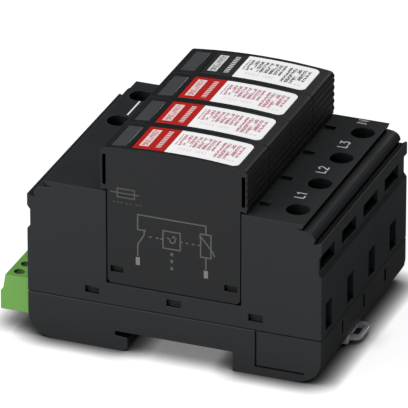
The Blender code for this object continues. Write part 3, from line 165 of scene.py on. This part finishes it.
def fill(tree, socket, value):
    """Link a socket to another one, or set it to a plain value."""
    if isinstance(value, bpy.types.NodeSocket):
        tree.links.new(value, socket)
    else:
        socket.default_value = value


def maths(tree, operation, *values, clamp=False):
    node = tree.nodes.new("ShaderNodeMath")
    node.operation = operation
    node.use_clamp = clamp
    for socket, value in zip(node.inputs, values):
        fill(tree, socket, value)
    return node.outputs[0]


def rgba(colour):
    """A colour with its alpha, or a socket as it is."""
    return colour if isinstance(colour, bpy.types.NodeSocket) else (*colour, 1.0)


def grey(shade):
    return (shade, shade, shade)


def tone(colour, factor):
    return tuple(channel * factor for channel in colour)


class Nodes:
    """Short names for building one material's node tree."""

    def __init__(self, name):
        self.material = bpy.data.materials.new(name)
        self.material.use_nodes = True
        self.tree = self.material.node_tree
        self.shader = self.tree.nodes["Principled BSDF"]
        self.output = self.tree.nodes["Material Output"]
        coordinates = self.tree.nodes.new("ShaderNodeTexCoord")
        self.place = coordinates.outputs["Object"]

    def link(self, source, target):
        self.tree.links.new(source, target)

    def maths(self, operation, *values, clamp=False):
        return maths(self.tree, operation, *values, clamp=clamp)

    def both(self, first, second):
        return self.maths("MULTIPLY", first, second)

    def between(self, value, low, high):
        """1 where the value lies between two numbers, else 0."""
        return self.both(self.maths("GREATER_THAN", value, low),
                         self.maths("LESS_THAN", value, high))

    def noise(self, scale, detail=3.0, roughness=0.6, vector=None):
        node = self.tree.nodes.new("ShaderNodeTexNoise")
        self.link(vector or self.place, node.inputs["Vector"])
        node.inputs["Scale"].default_value = scale
        node.inputs["Detail"].default_value = detail
        node.inputs["Roughness"].default_value = roughness
        return node.outputs["Fac"]

    def chance(self, u, v, seed):
        """A fixed random number for each pair of whole numbers u and v."""
        joined = self.tree.nodes.new("ShaderNodeCombineXYZ")
        self.link(u, joined.inputs["X"])
        self.link(v, joined.inputs["Y"])
        joined.inputs["Z"].default_value = seed
        node = self.tree.nodes.new("ShaderNodeTexWhiteNoise")
        node.noise_dimensions = "3D"
        self.link(joined.outputs["Vector"], node.inputs["Vector"])
        return node.outputs["Value"]

    def scaled(self, scale):
        node = self.tree.nodes.new("ShaderNodeMapping")
        self.link(self.place, node.inputs["Vector"])
        node.inputs["Scale"].default_value = scale
        return node.outputs["Vector"]

    def remap(self, value, source, target):
        """The value moved from one span of numbers to another, and held inside it."""
        node = self.tree.nodes.new("ShaderNodeMapRange")
        self.link(value, node.inputs["Value"])
        names = ("From Min", "From Max", "To Min", "To Max")
        for name, number in zip(names, (*source, *target)):
            node.inputs[name].default_value = number
        return node.outputs["Result"]

    def blend_colours(self, amount, first, second):
        node = self.tree.nodes.new("ShaderNodeMix")
        node.data_type = "RGBA"
        fill(self.tree, node.inputs["Factor"], amount)
        fill(self.tree, node.inputs[6], rgba(first))
        fill(self.tree, node.inputs[7], rgba(second))
        return node.outputs[2]

    def split(self):
        node = self.tree.nodes.new("ShaderNodeSeparateXYZ")
        self.link(self.place, node.inputs["Vector"])
        return node.outputs["X"], node.outputs["Y"], node.outputs["Z"]

    def painted_recess_shade(self):
        """Painted shade: 0 in the open, and up to 1 deep in the piece's own holes and slots."""
        node = self.tree.nodes.new("ShaderNodeAmbientOcclusion")
        node.only_local = True
        node.samples = 8
        node.inputs["Distance"].default_value = PAINTED_SHADE_REACH
        return self.remap(node.outputs["AO"], PAINTED_SHADE_VIEW, (0.0, 1.0))

    def bump(self, height, strength, distance):
        node = self.tree.nodes.new("ShaderNodeBump")
        self.link(height, node.inputs["Height"])
        node.inputs["Strength"].default_value = strength
        node.inputs["Distance"].default_value = distance
        self.link(node.outputs["Normal"], self.shader.inputs["Normal"])

    def finish(self, colour, roughness, metallic=0.0):
        fill(self.tree, self.shader.inputs["Base Color"], rgba(colour))
        fill(self.tree, self.shader.inputs["Roughness"], roughness)
        self.shader.inputs["Metallic"].default_value = metallic
        return self.material


# Materials

def moulded(name, colour, roughness=0.5, grain=4200.0, depth=0.02 * MM, spread=0.12, shine=0.5,
            painted_recess_shade=PAINTED_SHADE_TONE):
    """Moulded plastic: a fine spark-eroded grain over slow changes of shade and gloss, and painted
    shade in its holes and slots.
    """
    nodes = Nodes(name)
    slow = nodes.noise(45.0)
    fine = nodes.noise(grain)
    shade = nodes.blend_colours(slow, tone(colour, 1.0 - spread), tone(colour, 1.0 + spread))
    specks = nodes.remap(fine, SPECK_SPAN, (0.0, 0.22))
    colours = nodes.blend_colours(specks, shade, tone(colour, 1.5))
    # painted shade: deep in the piece's own holes and slots the colour darkens to a share of itself
    colours = nodes.blend_colours(nodes.painted_recess_shade(), colours, tone(colour, painted_recess_shade))
    gloss = nodes.maths("ADD", nodes.remap(slow, NOISE_SPAN, (roughness - 0.05, roughness + 0.05)),
                        nodes.remap(fine, NOISE_SPAN, (-0.04, 0.04)))
    nodes.bump(fine, 0.55, depth)
    nodes.shader.inputs["IOR"].default_value = 1.42
    nodes.shader.inputs["Specular IOR Level"].default_value = shine
    return nodes.finish(colours, gloss)


def plated(name, colour, roughness=0.3, along=(600.0, 9000.0, 9000.0), metallic=1.0):
    """Sheet or turned metal with fine drawing marks and a patchy bloom."""
    nodes = Nodes(name)
    bloom = nodes.noise(260.0, detail=4.0)
    marks = nodes.noise(1.0, vector=nodes.scaled(along))
    colours = nodes.blend_colours(bloom, tone(colour, 0.82), tone(colour, 1.1))
    gloss = nodes.maths("ADD", nodes.remap(bloom, NOISE_SPAN, (roughness - 0.07, roughness + 0.1)),
                        nodes.remap(marks, NOISE_SPAN, (-0.05, 0.05)))
    nodes.bump(marks, 0.3, 0.01 * MM)
    return nodes.finish(colours, gloss, metallic)


def printed(name, colour):
    """Pad printing: slightly uneven cover and a satin surface."""
    nodes = Nodes(name)
    cover = nodes.noise(5200.0, roughness=0.7)
    thin = nodes.remap(cover, SPECK_SPAN, (0.0, 0.35))
    colours = nodes.blend_colours(thin, colour, tone(colour, 0.62))
    nodes.bump(cover, 0.2, 0.005 * MM)
    return nodes.finish(colours, 0.45)


def label_film(name, field, ink):
    """Printed film: a coloured field with plain bars, and rows of fine marks on the white part."""
    nodes = Nodes(name)
    x, y, _ = nodes.split()
    in_module = nodes.maths("MODULO", nodes.maths("ADD", y, 2 * MODULE_PITCH), MODULE_PITCH)
    local_y = nodes.maths("SUBTRACT", in_module, MODULE_PITCH / 2)

    def along_x(span):
        return nodes.between(x, span[0] * MM, span[1] * MM)

    def along_y(span):
        return nodes.between(local_y, span[0] * MM, span[1] * MM)

    def rows(pitch, cell, share, inked_cells, seed, parts=1):
        """Broken bars that run along Y, in rows spaced along X, each row split into parts."""
        row = nodes.maths("DIVIDE", nodes.maths("ADD", x, seed * MM), pitch * MM)
        column = nodes.maths("DIVIDE", local_y, cell * MM)
        part = nodes.maths("FLOOR", nodes.maths("MULTIPLY", row, parts))
        number = nodes.chance(part, nodes.maths("FLOOR", column), seed)
        in_row = nodes.maths("LESS_THAN", nodes.maths("FRACT", row), share)
        return nodes.both(nodes.maths("LESS_THAN", number, inked_cells), in_row)

    def fine_marks(x_span, y_span, pitch, letter, word, share, seed, strength):
        """Specks the size of letter strokes in rows, with some of the words left out."""
        letters = rows(pitch, letter, share, LETTER_FILL, seed, LETTER_PARTS)
        words = rows(pitch, word, WHOLE_ROW, WORD_FILL, seed + WORD_SEED_STEP)
        block = nodes.both(along_x(x_span), along_y(y_span))
        return nodes.both(nodes.both(nodes.both(letters, words), block), strength)

    fine = 0.0
    for block in LABEL_BLOCKS:
        fine = nodes.maths("ADD", fine, fine_marks(*block), clamp=True)
    inside = along_y((-LABEL_SIDE, LABEL_SIDE))
    hollow = nodes.both(along_x(BAR_INSIDE), along_y((-BAR_INSIDE_SIDE, BAR_INSIDE_SIDE)))
    cells = rows(*WEAVE_CELL, WHOLE_ROW, WEAVE_FILL, WEAVE_SEED)
    weave = nodes.maths("MULTIPLY_ADD", cells, WEAVE_DARK, WEAVE_BASE)
    bar = nodes.maths("SUBTRACT", nodes.both(along_x(BAR_FRAME), inside), nodes.both(hollow, weave))
    steps = nodes.maths("FRACT", nodes.maths("DIVIDE", local_y, STROKE_PITCH * MM))
    strokes = nodes.both(nodes.maths("LESS_THAN", steps, STROKE_SHARE), STROKE_INK)
    strokes = nodes.both(nodes.both(along_x(STROKE_ROW), inside), strokes)
    white_ink = nodes.maths("ADD", bar, strokes, clamp=True)

    white_part = nodes.blend_colours(nodes.both(fine, INK_COVER), LABEL_PALE, ink)
    field_part = nodes.blend_colours(nodes.both(white_ink, WHITE_INK_COVER), field, LABEL_PALE)
    on_field = nodes.maths("LESS_THAN", x, LABEL_FIELD_END * MM)
    colours = nodes.blend_colours(on_field, white_part, field_part)
    wave = nodes.noise(900.0)
    nodes.bump(wave, 0.15, 0.01 * MM)
    nodes.shader.inputs["Coat Weight"].default_value = 0.05
    return nodes.finish(colours, nodes.remap(wave, NOISE_SPAN, (0.34, 0.46)))


def smoked(name):
    """Tinted window, a little lighter than the plug around it."""
    nodes = Nodes(name)
    slow = nodes.noise(160.0, detail=2.0, roughness=0.5)
    colours = nodes.blend_colours(slow, WINDOW_DARK, WINDOW_PALE)
    nodes.shader.inputs["Coat Weight"].default_value = 0.3
    nodes.shader.inputs["Coat Roughness"].default_value = 0.15
    nodes.bump(nodes.noise(1400.0, detail=2.0, roughness=0.5), 0.08, 0.01 * MM)
    return nodes.finish(colours, nodes.remap(slow, NOISE_SPAN, (0.24, 0.34)))


def make_materials():
    return {
        "housing": moulded("housing plastic", HOUSING, 0.58),
        "foot": moulded("foot plastic", FOOT),
        "plug": moulded("plug plastic", PLUG, shine=0.46),
        "black plastic": moulded("inner black plastic", INNER_BLACK, 0.45),
        "green plastic": moulded("green polyamide", GREEN_POLYAMIDE, 0.38, grain=2600.0,
                                 depth=0.01 * MM, spread=0.10, painted_recess_shade=0.35),
        "zinc plated steel": plated("zinc plated steel", ZINC, metallic=0.4),
        # the green plug's screws: painted shade of their holes, darkened and tinted green
        "screw steel with painted shade": plated("screw steel with painted shade", SHADED_SCREW_STEEL, 0.45, metallic=0.5),
        "copper": plated("copper", COPPER, along=(9000.0, 9000.0, 600.0)),
        "tinned copper": plated("tinned copper", TIN),
        "spring steel": plated("spring steel", SPRING_STEEL, 0.28, (9000.0, 600.0, 600.0)),
        "varistor coating": moulded("varistor coating", VARISTOR_BLUE, 0.4, grain=900.0,
                                    depth=0.05 * MM),
        "ceramic": moulded("glazed ceramic", GLAZED_CERAMIC, 0.3, grain=1800.0,
                           depth=0.005 * MM, spread=0.05),
        "smoke window": smoked("smoke window"),
        "flag green": moulded("flag green", FLAG_GREEN),
        "red label": label_film("red label film", LABEL_RED, RED_INK),
        "black label": label_film("black label film", LABEL_BLACK, BLACK_INK),
        "grey print": printed("grey print", PRINT_GREY),
        "faint print": printed("faint print", PRINT_FAINT),
        "dim print": printed("dim print", tone(PRINT_FAINT, 0.45)),
        "pad print": printed("pad print", PRINT_PAD),
        "dark print": printed("dark print", PRINT_DARK),
        "white print": printed("white print", PRINT_WHITE),
        "bright bar": printed("bright bar", BAR_BRIGHT),
    }


# Soft edges and finishes of the solids

# Widths in millimetres, by the start of a node's name
EDGE_WIDTHS = {
    "base_housing": 0.20, "base_foot": 0.22, "plug_case": 0.12, "rail_catch": 0.15,
    "remote_plug": 0.18, "remote_screw": 0.10, "terminal_screw": 0.12, "clamp_cage": 0.12,
    "status_window": 0.10, "plug_label": 0.05, "plug_floor": 0.12, "blade": 0.10,
    "status_flag": 0.10, "varistor": 0.3, "contact": 0.05,
}

# Finishes that differ from the material slot, by the start of a node's name
FINISHES = {
    "base_housing": "housing", "base_foot": "foot", "plug_case": "plug",
    "remote_screw": "screw steel with painted shade",
}


def by_start(table, name, default=None):
    """The entry of a table whose key starts the name."""
    return next((entry for start, entry in table.items() if name.startswith(start)), default)


def add_object(name, data):
    thing = bpy.data.objects.new(name, data)
    bpy.context.scene.collection.objects.link(thing)
    return thing


def gap_between(first, second):
    """Smallest distance between two edges of one flat face that don't cross."""
    gaps = []
    for one, other in ((first, second), (second, first)):
        start, end = other.verts[0].co, other.verts[1].co
        along = end - start
        for corner in one.verts:
            share = (corner.co - start).dot(along) / along.length_squared
            share = min(max(share, 0.0), 1.0)
            gaps.append((corner.co - start - along * share).length)
    return min(gaps)


def roomy_edges(shape, width):
    """Sharp edges that can be rounded to a width without their roundings meeting."""
    sharp = {edge for edge in shape.edges
             if len(edge.link_faces) == 2 and edge.calc_face_angle() > EDGE_ANGLE}
    for face in shape.faces:
        edges = list(face.edges)
        for index, first in enumerate(edges):
            for second in edges[index + 1:]:
                together = (first in sharp) + (second in sharp)
                if together and not set(first.verts) & set(second.verts) \
                        and gap_between(first, second) < EDGE_ROOM * width * together:
                    sharp.difference_update((first, second))
    # An edge too short for the roundings at its ends stays sharp, and so do those roundings
    for edge in sorted(shape.edges, key=lambda edge: edge.calc_length()):
        ends = [[other for other in corner.link_edges if other is not edge and other in sharp]
                for corner in edge.verts]
        if edge.calc_length() < EDGE_ROOM * width * sum(bool(end) for end in ends):
            sharp.difference_update(ends[0] + ends[1] + [edge])
    return sharp


def mark_roomy_edges(mesh, width):
    """Give the roomy edges of a solid the weight that its rounding reads."""
    def place(point):
        return tuple(round(value / MM, CORNER_DECIMALS) for value in point)

    shape = bmesh.new()
    shape.from_mesh(mesh)
    bmesh.ops.remove_doubles(shape, verts=shape.verts, dist=JOIN_REACH)
    bmesh.ops.dissolve_limit(shape, angle_limit=FLAT_ANGLE, verts=shape.verts, edges=shape.edges)
    roomy = {frozenset(place(corner.co) for corner in edge.verts)
             for edge in roomy_edges(shape, width)}
    shape.free()
    weights = mesh.attributes.new("bevel_weight_edge", "FLOAT", "EDGE")
    corners = [place(vertex.co) for vertex in mesh.vertices]
    for edge in mesh.edges:
        key = frozenset(corners[index] for index in edge.vertices)
        weights.data[edge.index].value = 1.0 if key in roomy else 0.0


def soften(piece, width):
    """Join the corners, make flat areas single faces, and round the roomy edges narrowly."""
    mark_roomy_edges(piece.data, width)
    joined = piece.modifiers.new("joined corners", "WELD")
    joined.merge_threshold = JOIN_REACH
    merge = piece.modifiers.new("flat areas", "DECIMATE")
    merge.decimate_type = "DISSOLVE"
    merge.angle_limit = FLAT_ANGLE
    edge = piece.modifiers.new("soft edges", "BEVEL")
    edge.width = width
    edge.segments = EDGE_SEGMENTS
    edge.limit_method = "WEIGHT"
    edge.use_clamp_overlap = False
    even = piece.modifiers.new("even shading", "WEIGHTED_NORMAL")
    even.keep_sharp = True


def dress_nodes(frame, materials):
    slots = {entry["node"]: entry["material_slot"] for entry in frame["record"]["subparts"]}
    for name, piece in frame["nodes"].items():
        piece.data.materials.clear()
        piece.data.materials.append(materials[by_start(FINISHES, name, slots[name])])
        width = by_start(EDGE_WIDTHS, name)
        if width:
            soften(piece, width * MM)


def make_catch_spring(frame, materials):
    """The return spring: a copy of its node in spring steel, carried by the base in the node's
    place.
    """
    coil = add_object("catch_spring_coil", frame["nodes"]["catch_spring"].data.copy())
    coil.data.materials.clear()
    coil.data.materials.append(materials["spring steel"])
    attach(coil, "base")
    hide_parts("catch_spring")
    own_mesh(coil)


# Printed marks, and a bright bar on the left shoulder

def stroke_sides(points, closed, width):
    """Left and right edge points of a mitred stroke along a path."""
    count = len(points)
    sides = []
    for index, (u, v) in enumerate(points):
        before = points[index - 1] if closed or index > 0 else None
        after = points[(index + 1) % count] if closed or index < count - 1 else None
        normals = []
        for a, b in ((before, (u, v)), ((u, v), after)):
            if a is not None and b is not None:
                length = math.hypot(b[0] - a[0], b[1] - a[1])
                normals.append((-(b[1] - a[1]) / length, (b[0] - a[0]) / length))
        if len(normals) == 2:
            su, sv = normals[0][0] + normals[1][0], normals[0][1] + normals[1][1]
            reach = width / max(su * su + sv * sv, MITRE_LIMIT)
            shift = (su * reach, sv * reach)
        else:
            shift = (normals[0][0] * width / 2, normals[0][1] * width / 2)
        sides.append(((u + shift[0], v + shift[1]), (u - shift[0], v - shift[1])))
    return sides


def flat_strokes(name, paths, width, place):
    """Thin raised strokes along paths, with place turning (u, v, lift) into a point.

    Each path is its points, and a flag that says whether it closes on itself. Every path is a
    little thicker than the one before, so that crossing strokes never share a surface.
    """
    shape = bmesh.new()
    for number, (points, closed) in enumerate(paths):
        top, bottom = PRINT_LIFT + number * PRINT_STEP, -PRINT_LIFT
        rings = []
        for left, right in stroke_sides(points, closed, width):
            corners = ((left, top), (right, top), (right, bottom), (left, bottom))
            rings.append([shape.verts.new(place(u, v, height)) for (u, v), height in corners])
        pairs = list(zip(rings, rings[1:]))
        if closed:
            pairs.append((rings[-1], rings[0]))
        else:
            shape.faces.new(rings[0])
            shape.faces.new(rings[-1])
        for first, second in pairs:
            for i in range(4):
                j = (i + 1) % 4
                shape.faces.new((first[i], first[j], second[j], second[i]))
    bmesh.ops.recalc_face_normals(shape, faces=shape.faces)
    mesh = bpy.data.meshes.new(name)
    shape.to_mesh(mesh)
    shape.free()
    return add_object(name, mesh)


def path(*points, closed=False):
    """A path given in millimetres."""
    return [(u * MM, v * MM) for u, v in points], closed


def frame_path(left, bottom, right, top):
    return path((left, bottom), (right, bottom), (right, top), (left, top), closed=True)


def dash_row(height, *ends):
    """Level dashes, from their left and right ends in turn."""
    return [path((left, height), (right, height)) for left, right in zip(ends[::2], ends[1::2])]


def circuit_paths():
    """The line diagram on the front plug: switch, sensor and varistor with their wires."""
    wires = [
        path((-8.5, 33.8), (-10.95, 33.8), (-10.95, 38.55), (9.85, 38.55), (9.85, 35.9)),
        path((9.85, 28.5), (9.85, 24.7)),
        path((-8.9, 34.1), (-9.0, 32.4), (-10.95, 29.1), (-10.95, 25.4)),
    ]
    sensor = [
        frame_path(-3.2, 29.35, 2.05, 34.85),
        path((-2.03, 32.8), (-1.27, 32.56), (-0.97, 31.6), (-0.33, 31.25), (0.43, 31.84),
             (0.68, 33.06), (0.17, 33.57), (-0.42, 33.06), (0.94, 33.2)),
    ]
    varistor = [
        frame_path(8.25, 28.55, 11.4, 35.85),
        path((7.7, 35.0), (8.3, 35.0), (12.0, 30.6), (12.5, 29.2)),
    ]
    coupling = dash_row(32.1, -7.5, -6.6, -5.4, -4.5, -4.0, -3.4, 2.3, 2.8, 3.7, 4.5, 5.6, 6.4,
                        7.4, 8.1)
    return wires + sensor + varistor + coupling


def fuse_symbol():
    return [frame_path(-17.15, 43.15, -11.9, 45.85), path((-19.3, 44.5), (-10.4, 44.5))]


def fuse_dashes():
    """A row of plain dashes under the fuse symbol."""
    starts = (-18.6, -17.3, -16.2, -14.6, -13.4, -11.6, -10.5)
    return [path((left, 41.45), (left + 0.75, 41.45)) for left in starts]


def low_dashes():
    """A faint row of plain dashes near the panel's lower edge."""
    return dash_row(18.1, -6.3, -5.5, -4.9, -3.8, -3.1, -2.4, -1.5, -0.9, -0.1, 0.5, 1.4, 2.1,
                    2.8, 3.7, 4.3, 5.0, 5.6, 6.2)


def sensor_dots():
    """Short upright strokes under the sensor."""
    return [path((-0.55, height - 0.5), (-0.55, height + 0.5)) for height in (27.7, 25.5, 23.2)]


def wire_pads():
    """Upright pads at the ends of the diagram's wires."""
    return [path((-10.95, 22.5), (-10.95, 25.0)), path((9.85, 22.0), (9.85, 24.4))]


def make_panel_print(materials):
    """The marks on the front plug's face, where u and v are its X and Z."""
    def on_panel(u, v, lift):
        return (u, PANEL_Y - lift, v)

    for name, paths, width, ink in (
        ("circuit_diagram", circuit_paths(), LINE_WIDTH, "grey print"),
        ("circuit_dots", sensor_dots(), 0.8 * MM, "grey print"),
        ("circuit_pads", wire_pads(), 1.25 * MM, "pad print"),
        ("fuse_symbol", fuse_symbol(), LINE_WIDTH, "faint print"),
        ("fuse_dashes", fuse_dashes(), 0.6 * MM, "dim print"),
        ("low_dashes", low_dashes(), 0.9 * MM, "dark print"),
    ):
        piece = flat_strokes(name, paths, width, on_panel)
        piece.data.materials.append(materials[ink])
        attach(piece, "plug_1")


# Widths and strokes of the terminal marks' signs, in millimetres
GLYPHS = {
    "L": (1.6, [[(0.0, 2.8), (0.0, 0.0), (1.5, 0.0)]]),
    "N": (2.1, [[(0.0, -0.1), (0.0, 2.8), (2.0, 0.0), (2.0, 2.9)]]),
    "1": (1.0, [[(0.0, 2.2), (0.8, 2.75), (0.8, -0.1)]]),
    "2": (1.75, [[(0.1, 2.1), (0.2, 2.5), (0.6, 2.78), (1.15, 2.75), (1.55, 2.45), (1.6, 2.0),
                  (1.35, 1.5), (0.1, 0.0), (1.7, 0.0)]]),
    "3": (1.75, [[(0.1, 2.75), (1.5, 2.75), (0.75, 1.7), (1.3, 1.58), (1.6, 1.2), (1.6, 0.65),
                  (1.3, 0.18), (0.75, 0.0), (0.1, 0.25)]]),
}


def make_terminal_marks(materials):
    """Plain terminal marks beside the screws, read along the rail."""
    def beside_screw(u, v, lift):
        return (MARK_X - v, u, SHOULDER_Z + lift)

    for index, words in enumerate(("L1", "L2", "L3", "N")):
        spaces = MARK_SPACING / MM * (len(words) - 1)
        total = sum(GLYPHS[letter][0] for letter in words) + spaces
        along = (index - 1.5) * MODULE_PITCH + MARK_Y[words] - total / 2 * MM
        paths = []
        for letter in words:
            width, strokes = GLYPHS[letter]
            for stroke in strokes:
                paths.append(([(along + u * MM, v * MM) for u, v in stroke], False))
            along += width * MM + MARK_SPACING
        mark = flat_strokes(f"mark_{words}", paths, MARK_STROKE, beside_screw)
        mark.data.materials.append(materials["white print"])
        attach(mark, "base")


def make_shoulder_bar(materials):
    """A plain bright bar on the left shoulder."""
    def on_shoulder(u, v, lift):
        return (u, v, SHOULDER_Z + lift)

    line = [path((-33.4, 13.2), (-33.4, 23.0))]
    bar = flat_strokes("shoulder_bar", line, BAR_WIDTH, on_shoulder)
    bar.data.materials.append(materials["bright bar"])
    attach(bar, "base")


# Stage, light and camera

def rays_seen_by(tree, *kinds):
    """1 for rays of any of the kinds, else 0."""
    source = tree.nodes.new("ShaderNodeLightPath")
    total = source.outputs[kinds[0]]
    for kind in kinds[1:]:
        total = maths(tree, "MAXIMUM", total, source.outputs[kind])
    return total


def make_floor():
    """A pale floor whose open parts show white, with a painted contact shadow near the object, and
    whose mirror image is bright only in front.
    """
    mesh = bpy.data.meshes.new("floor")
    corners = [(u * FLOOR_REACH, v * FLOOR_REACH, FLOOR_Z)
               for u, v in ((-1, -1), (1, -1), (1, 1), (-1, 1))]
    mesh.from_pydata(corners, [], [(0, 1, 2, 3)])
    floor = add_object("floor", mesh)
    nodes = Nodes("floor")
    tree = nodes.tree
    # painted contact shadow: near the object the floor's colour goes dark and its white glow fades
    contact = tree.nodes.new("ShaderNodeAmbientOcclusion")
    contact.samples = 16
    contact.inputs["Distance"].default_value = PAINTED_SHADOW_REACH
    outside_painted_shadow = nodes.maths("POWER", contact.outputs["AO"], PAINTED_SHADOW_POWER)
    camera = rays_seen_by(tree, "Is Camera Ray", "Is Transmission Ray")
    seen_shade = nodes.blend_colours(outside_painted_shadow, grey(0.0), grey(FLOOR_SEEN_SHADE))
    glossy = rays_seen_by(tree, "Is Glossy Ray")
    unseen_shade = nodes.blend_colours(glossy, grey(FLOOR_SHADE), grey(FLOOR_MIRROR_SHADE))
    nodes.finish(nodes.blend_colours(camera, unseen_shade, seen_shade), 0.95)
    nodes.shader.inputs["Specular IOR Level"].default_value = 0.0
    glow = tree.nodes.new("ShaderNodeEmission")
    white = nodes.both(camera, nodes.both(outside_painted_shadow, FLOOR_GLOW))
    nodes.link(white, glow.inputs["Strength"])
    lit = tree.nodes.new("ShaderNodeAddShader")
    nodes.link(nodes.shader.outputs[0], lit.inputs[0])
    nodes.link(glow.outputs[0], lit.inputs[1])
    dark = tree.nodes.new("ShaderNodeBsdfDiffuse")
    dark.inputs["Color"].default_value = rgba(grey(FLOOR_MIRROR_DARK))
    _, y, _ = nodes.split()
    behind = nodes.maths("SUBTRACT", 1.0, nodes.remap(y, FLOOR_FRONT, (0.0, 1.0)))
    choose = tree.nodes.new("ShaderNodeMixShader")
    nodes.link(nodes.both(glossy, behind), choose.inputs["Fac"])
    nodes.link(lit.outputs[0], choose.inputs[1])
    nodes.link(dark.outputs[0], choose.inputs[2])
    nodes.link(choose.outputs[0], nodes.output.inputs["Surface"])
    floor.data.materials.append(nodes.material)


def make_world():
    """White for the camera, softer as a light and nearly dark in reflections."""
    world = bpy.data.worlds.new("studio")
    bpy.context.scene.world = world
    world.use_nodes = True
    tree = world.node_tree
    background = tree.nodes["Background"]
    background.inputs["Color"].default_value = rgba(grey(1.0))
    level = 0.0
    for kinds, strength in (
        (("Is Camera Ray", "Is Transmission Ray"), 1.0),
        (("Is Diffuse Ray",), WORLD_LIGHT),
        (("Is Glossy Ray",), WORLD_MIRROR),
    ):
        level = maths(tree, "MULTIPLY_ADD", rays_seen_by(tree, *kinds), strength, level)
    tree.links.new(level, background.inputs["Strength"])


def area_light(name, place, size, power):
    lamp = bpy.data.lights.new(name, "AREA")
    lamp.shape = "RECTANGLE"
    lamp.size, lamp.size_y = size
    lamp.energy = power
    light = add_object(name, lamp)
    light.location = place
    towards = Vector(LIGHT_AIM) - Vector(place)
    light.rotation_euler = towards.to_track_quat("-Z", "Y").to_euler()


def make_lights():
    area_light("front key", (-0.75, -1.25, 0.95), (1.0, 0.8), 16.5)
    area_light("left top fill", (-1.05, -0.60, 1.15), (0.5, 0.4), 8.8)
    area_light("back box", (0.1, 1.35, 0.9), (0.5, 0.4), 2.8)


def make_camera():
    """The camera looks so that the aim point falls on the aim pixel."""
    azimuth, elevation = math.radians(CAMERA_AZIMUTH), math.radians(CAMERA_ELEVATION)
    back = Vector((math.sin(azimuth) * math.cos(elevation),
                   -math.cos(azimuth) * math.cos(elevation), math.sin(elevation)))
    turn = (-back).to_track_quat("-Z", "Y")
    right = turn @ Vector((1.0, 0.0, 0.0))
    up = turn @ Vector((0.0, 1.0, 0.0))
    scale = CAMERA_DISTANCE / CAMERA_PIXELS
    across, down = (pixel - IMAGE_SIZE / 2 for pixel in AIM_PIXEL)
    centre = Vector(AIM_POINT) - right * across * scale + up * down * scale
    data = bpy.data.cameras.new("camera")
    data.sensor_width = SENSOR
    data.lens = CAMERA_PIXELS / IMAGE_SIZE * SENSOR
    data.clip_start, data.clip_end = CAMERA_CLIP
    camera = add_object("camera", data)
    camera.location = centre + back * CAMERA_DISTANCE
    camera.rotation_mode = "QUATERNION"
    camera.rotation_quaternion = turn
    bpy.context.scene.camera = camera


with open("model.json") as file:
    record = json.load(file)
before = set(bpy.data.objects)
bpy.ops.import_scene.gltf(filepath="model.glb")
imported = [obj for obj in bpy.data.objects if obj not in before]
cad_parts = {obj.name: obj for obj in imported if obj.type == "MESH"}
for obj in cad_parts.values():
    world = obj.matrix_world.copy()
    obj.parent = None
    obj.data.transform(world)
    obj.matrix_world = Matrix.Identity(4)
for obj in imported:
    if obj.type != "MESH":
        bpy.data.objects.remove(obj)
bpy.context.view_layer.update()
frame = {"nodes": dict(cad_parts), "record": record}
bpy.context.scene.view_settings.view_transform = "Standard"
make_camera()
finishes = make_materials()
dress_nodes(frame, finishes)
make_catch_spring(frame, finishes)
make_panel_print(finishes)
make_terminal_marks(finishes)
make_shoulder_bar(finishes)
make_floor()
make_world()
make_lights()
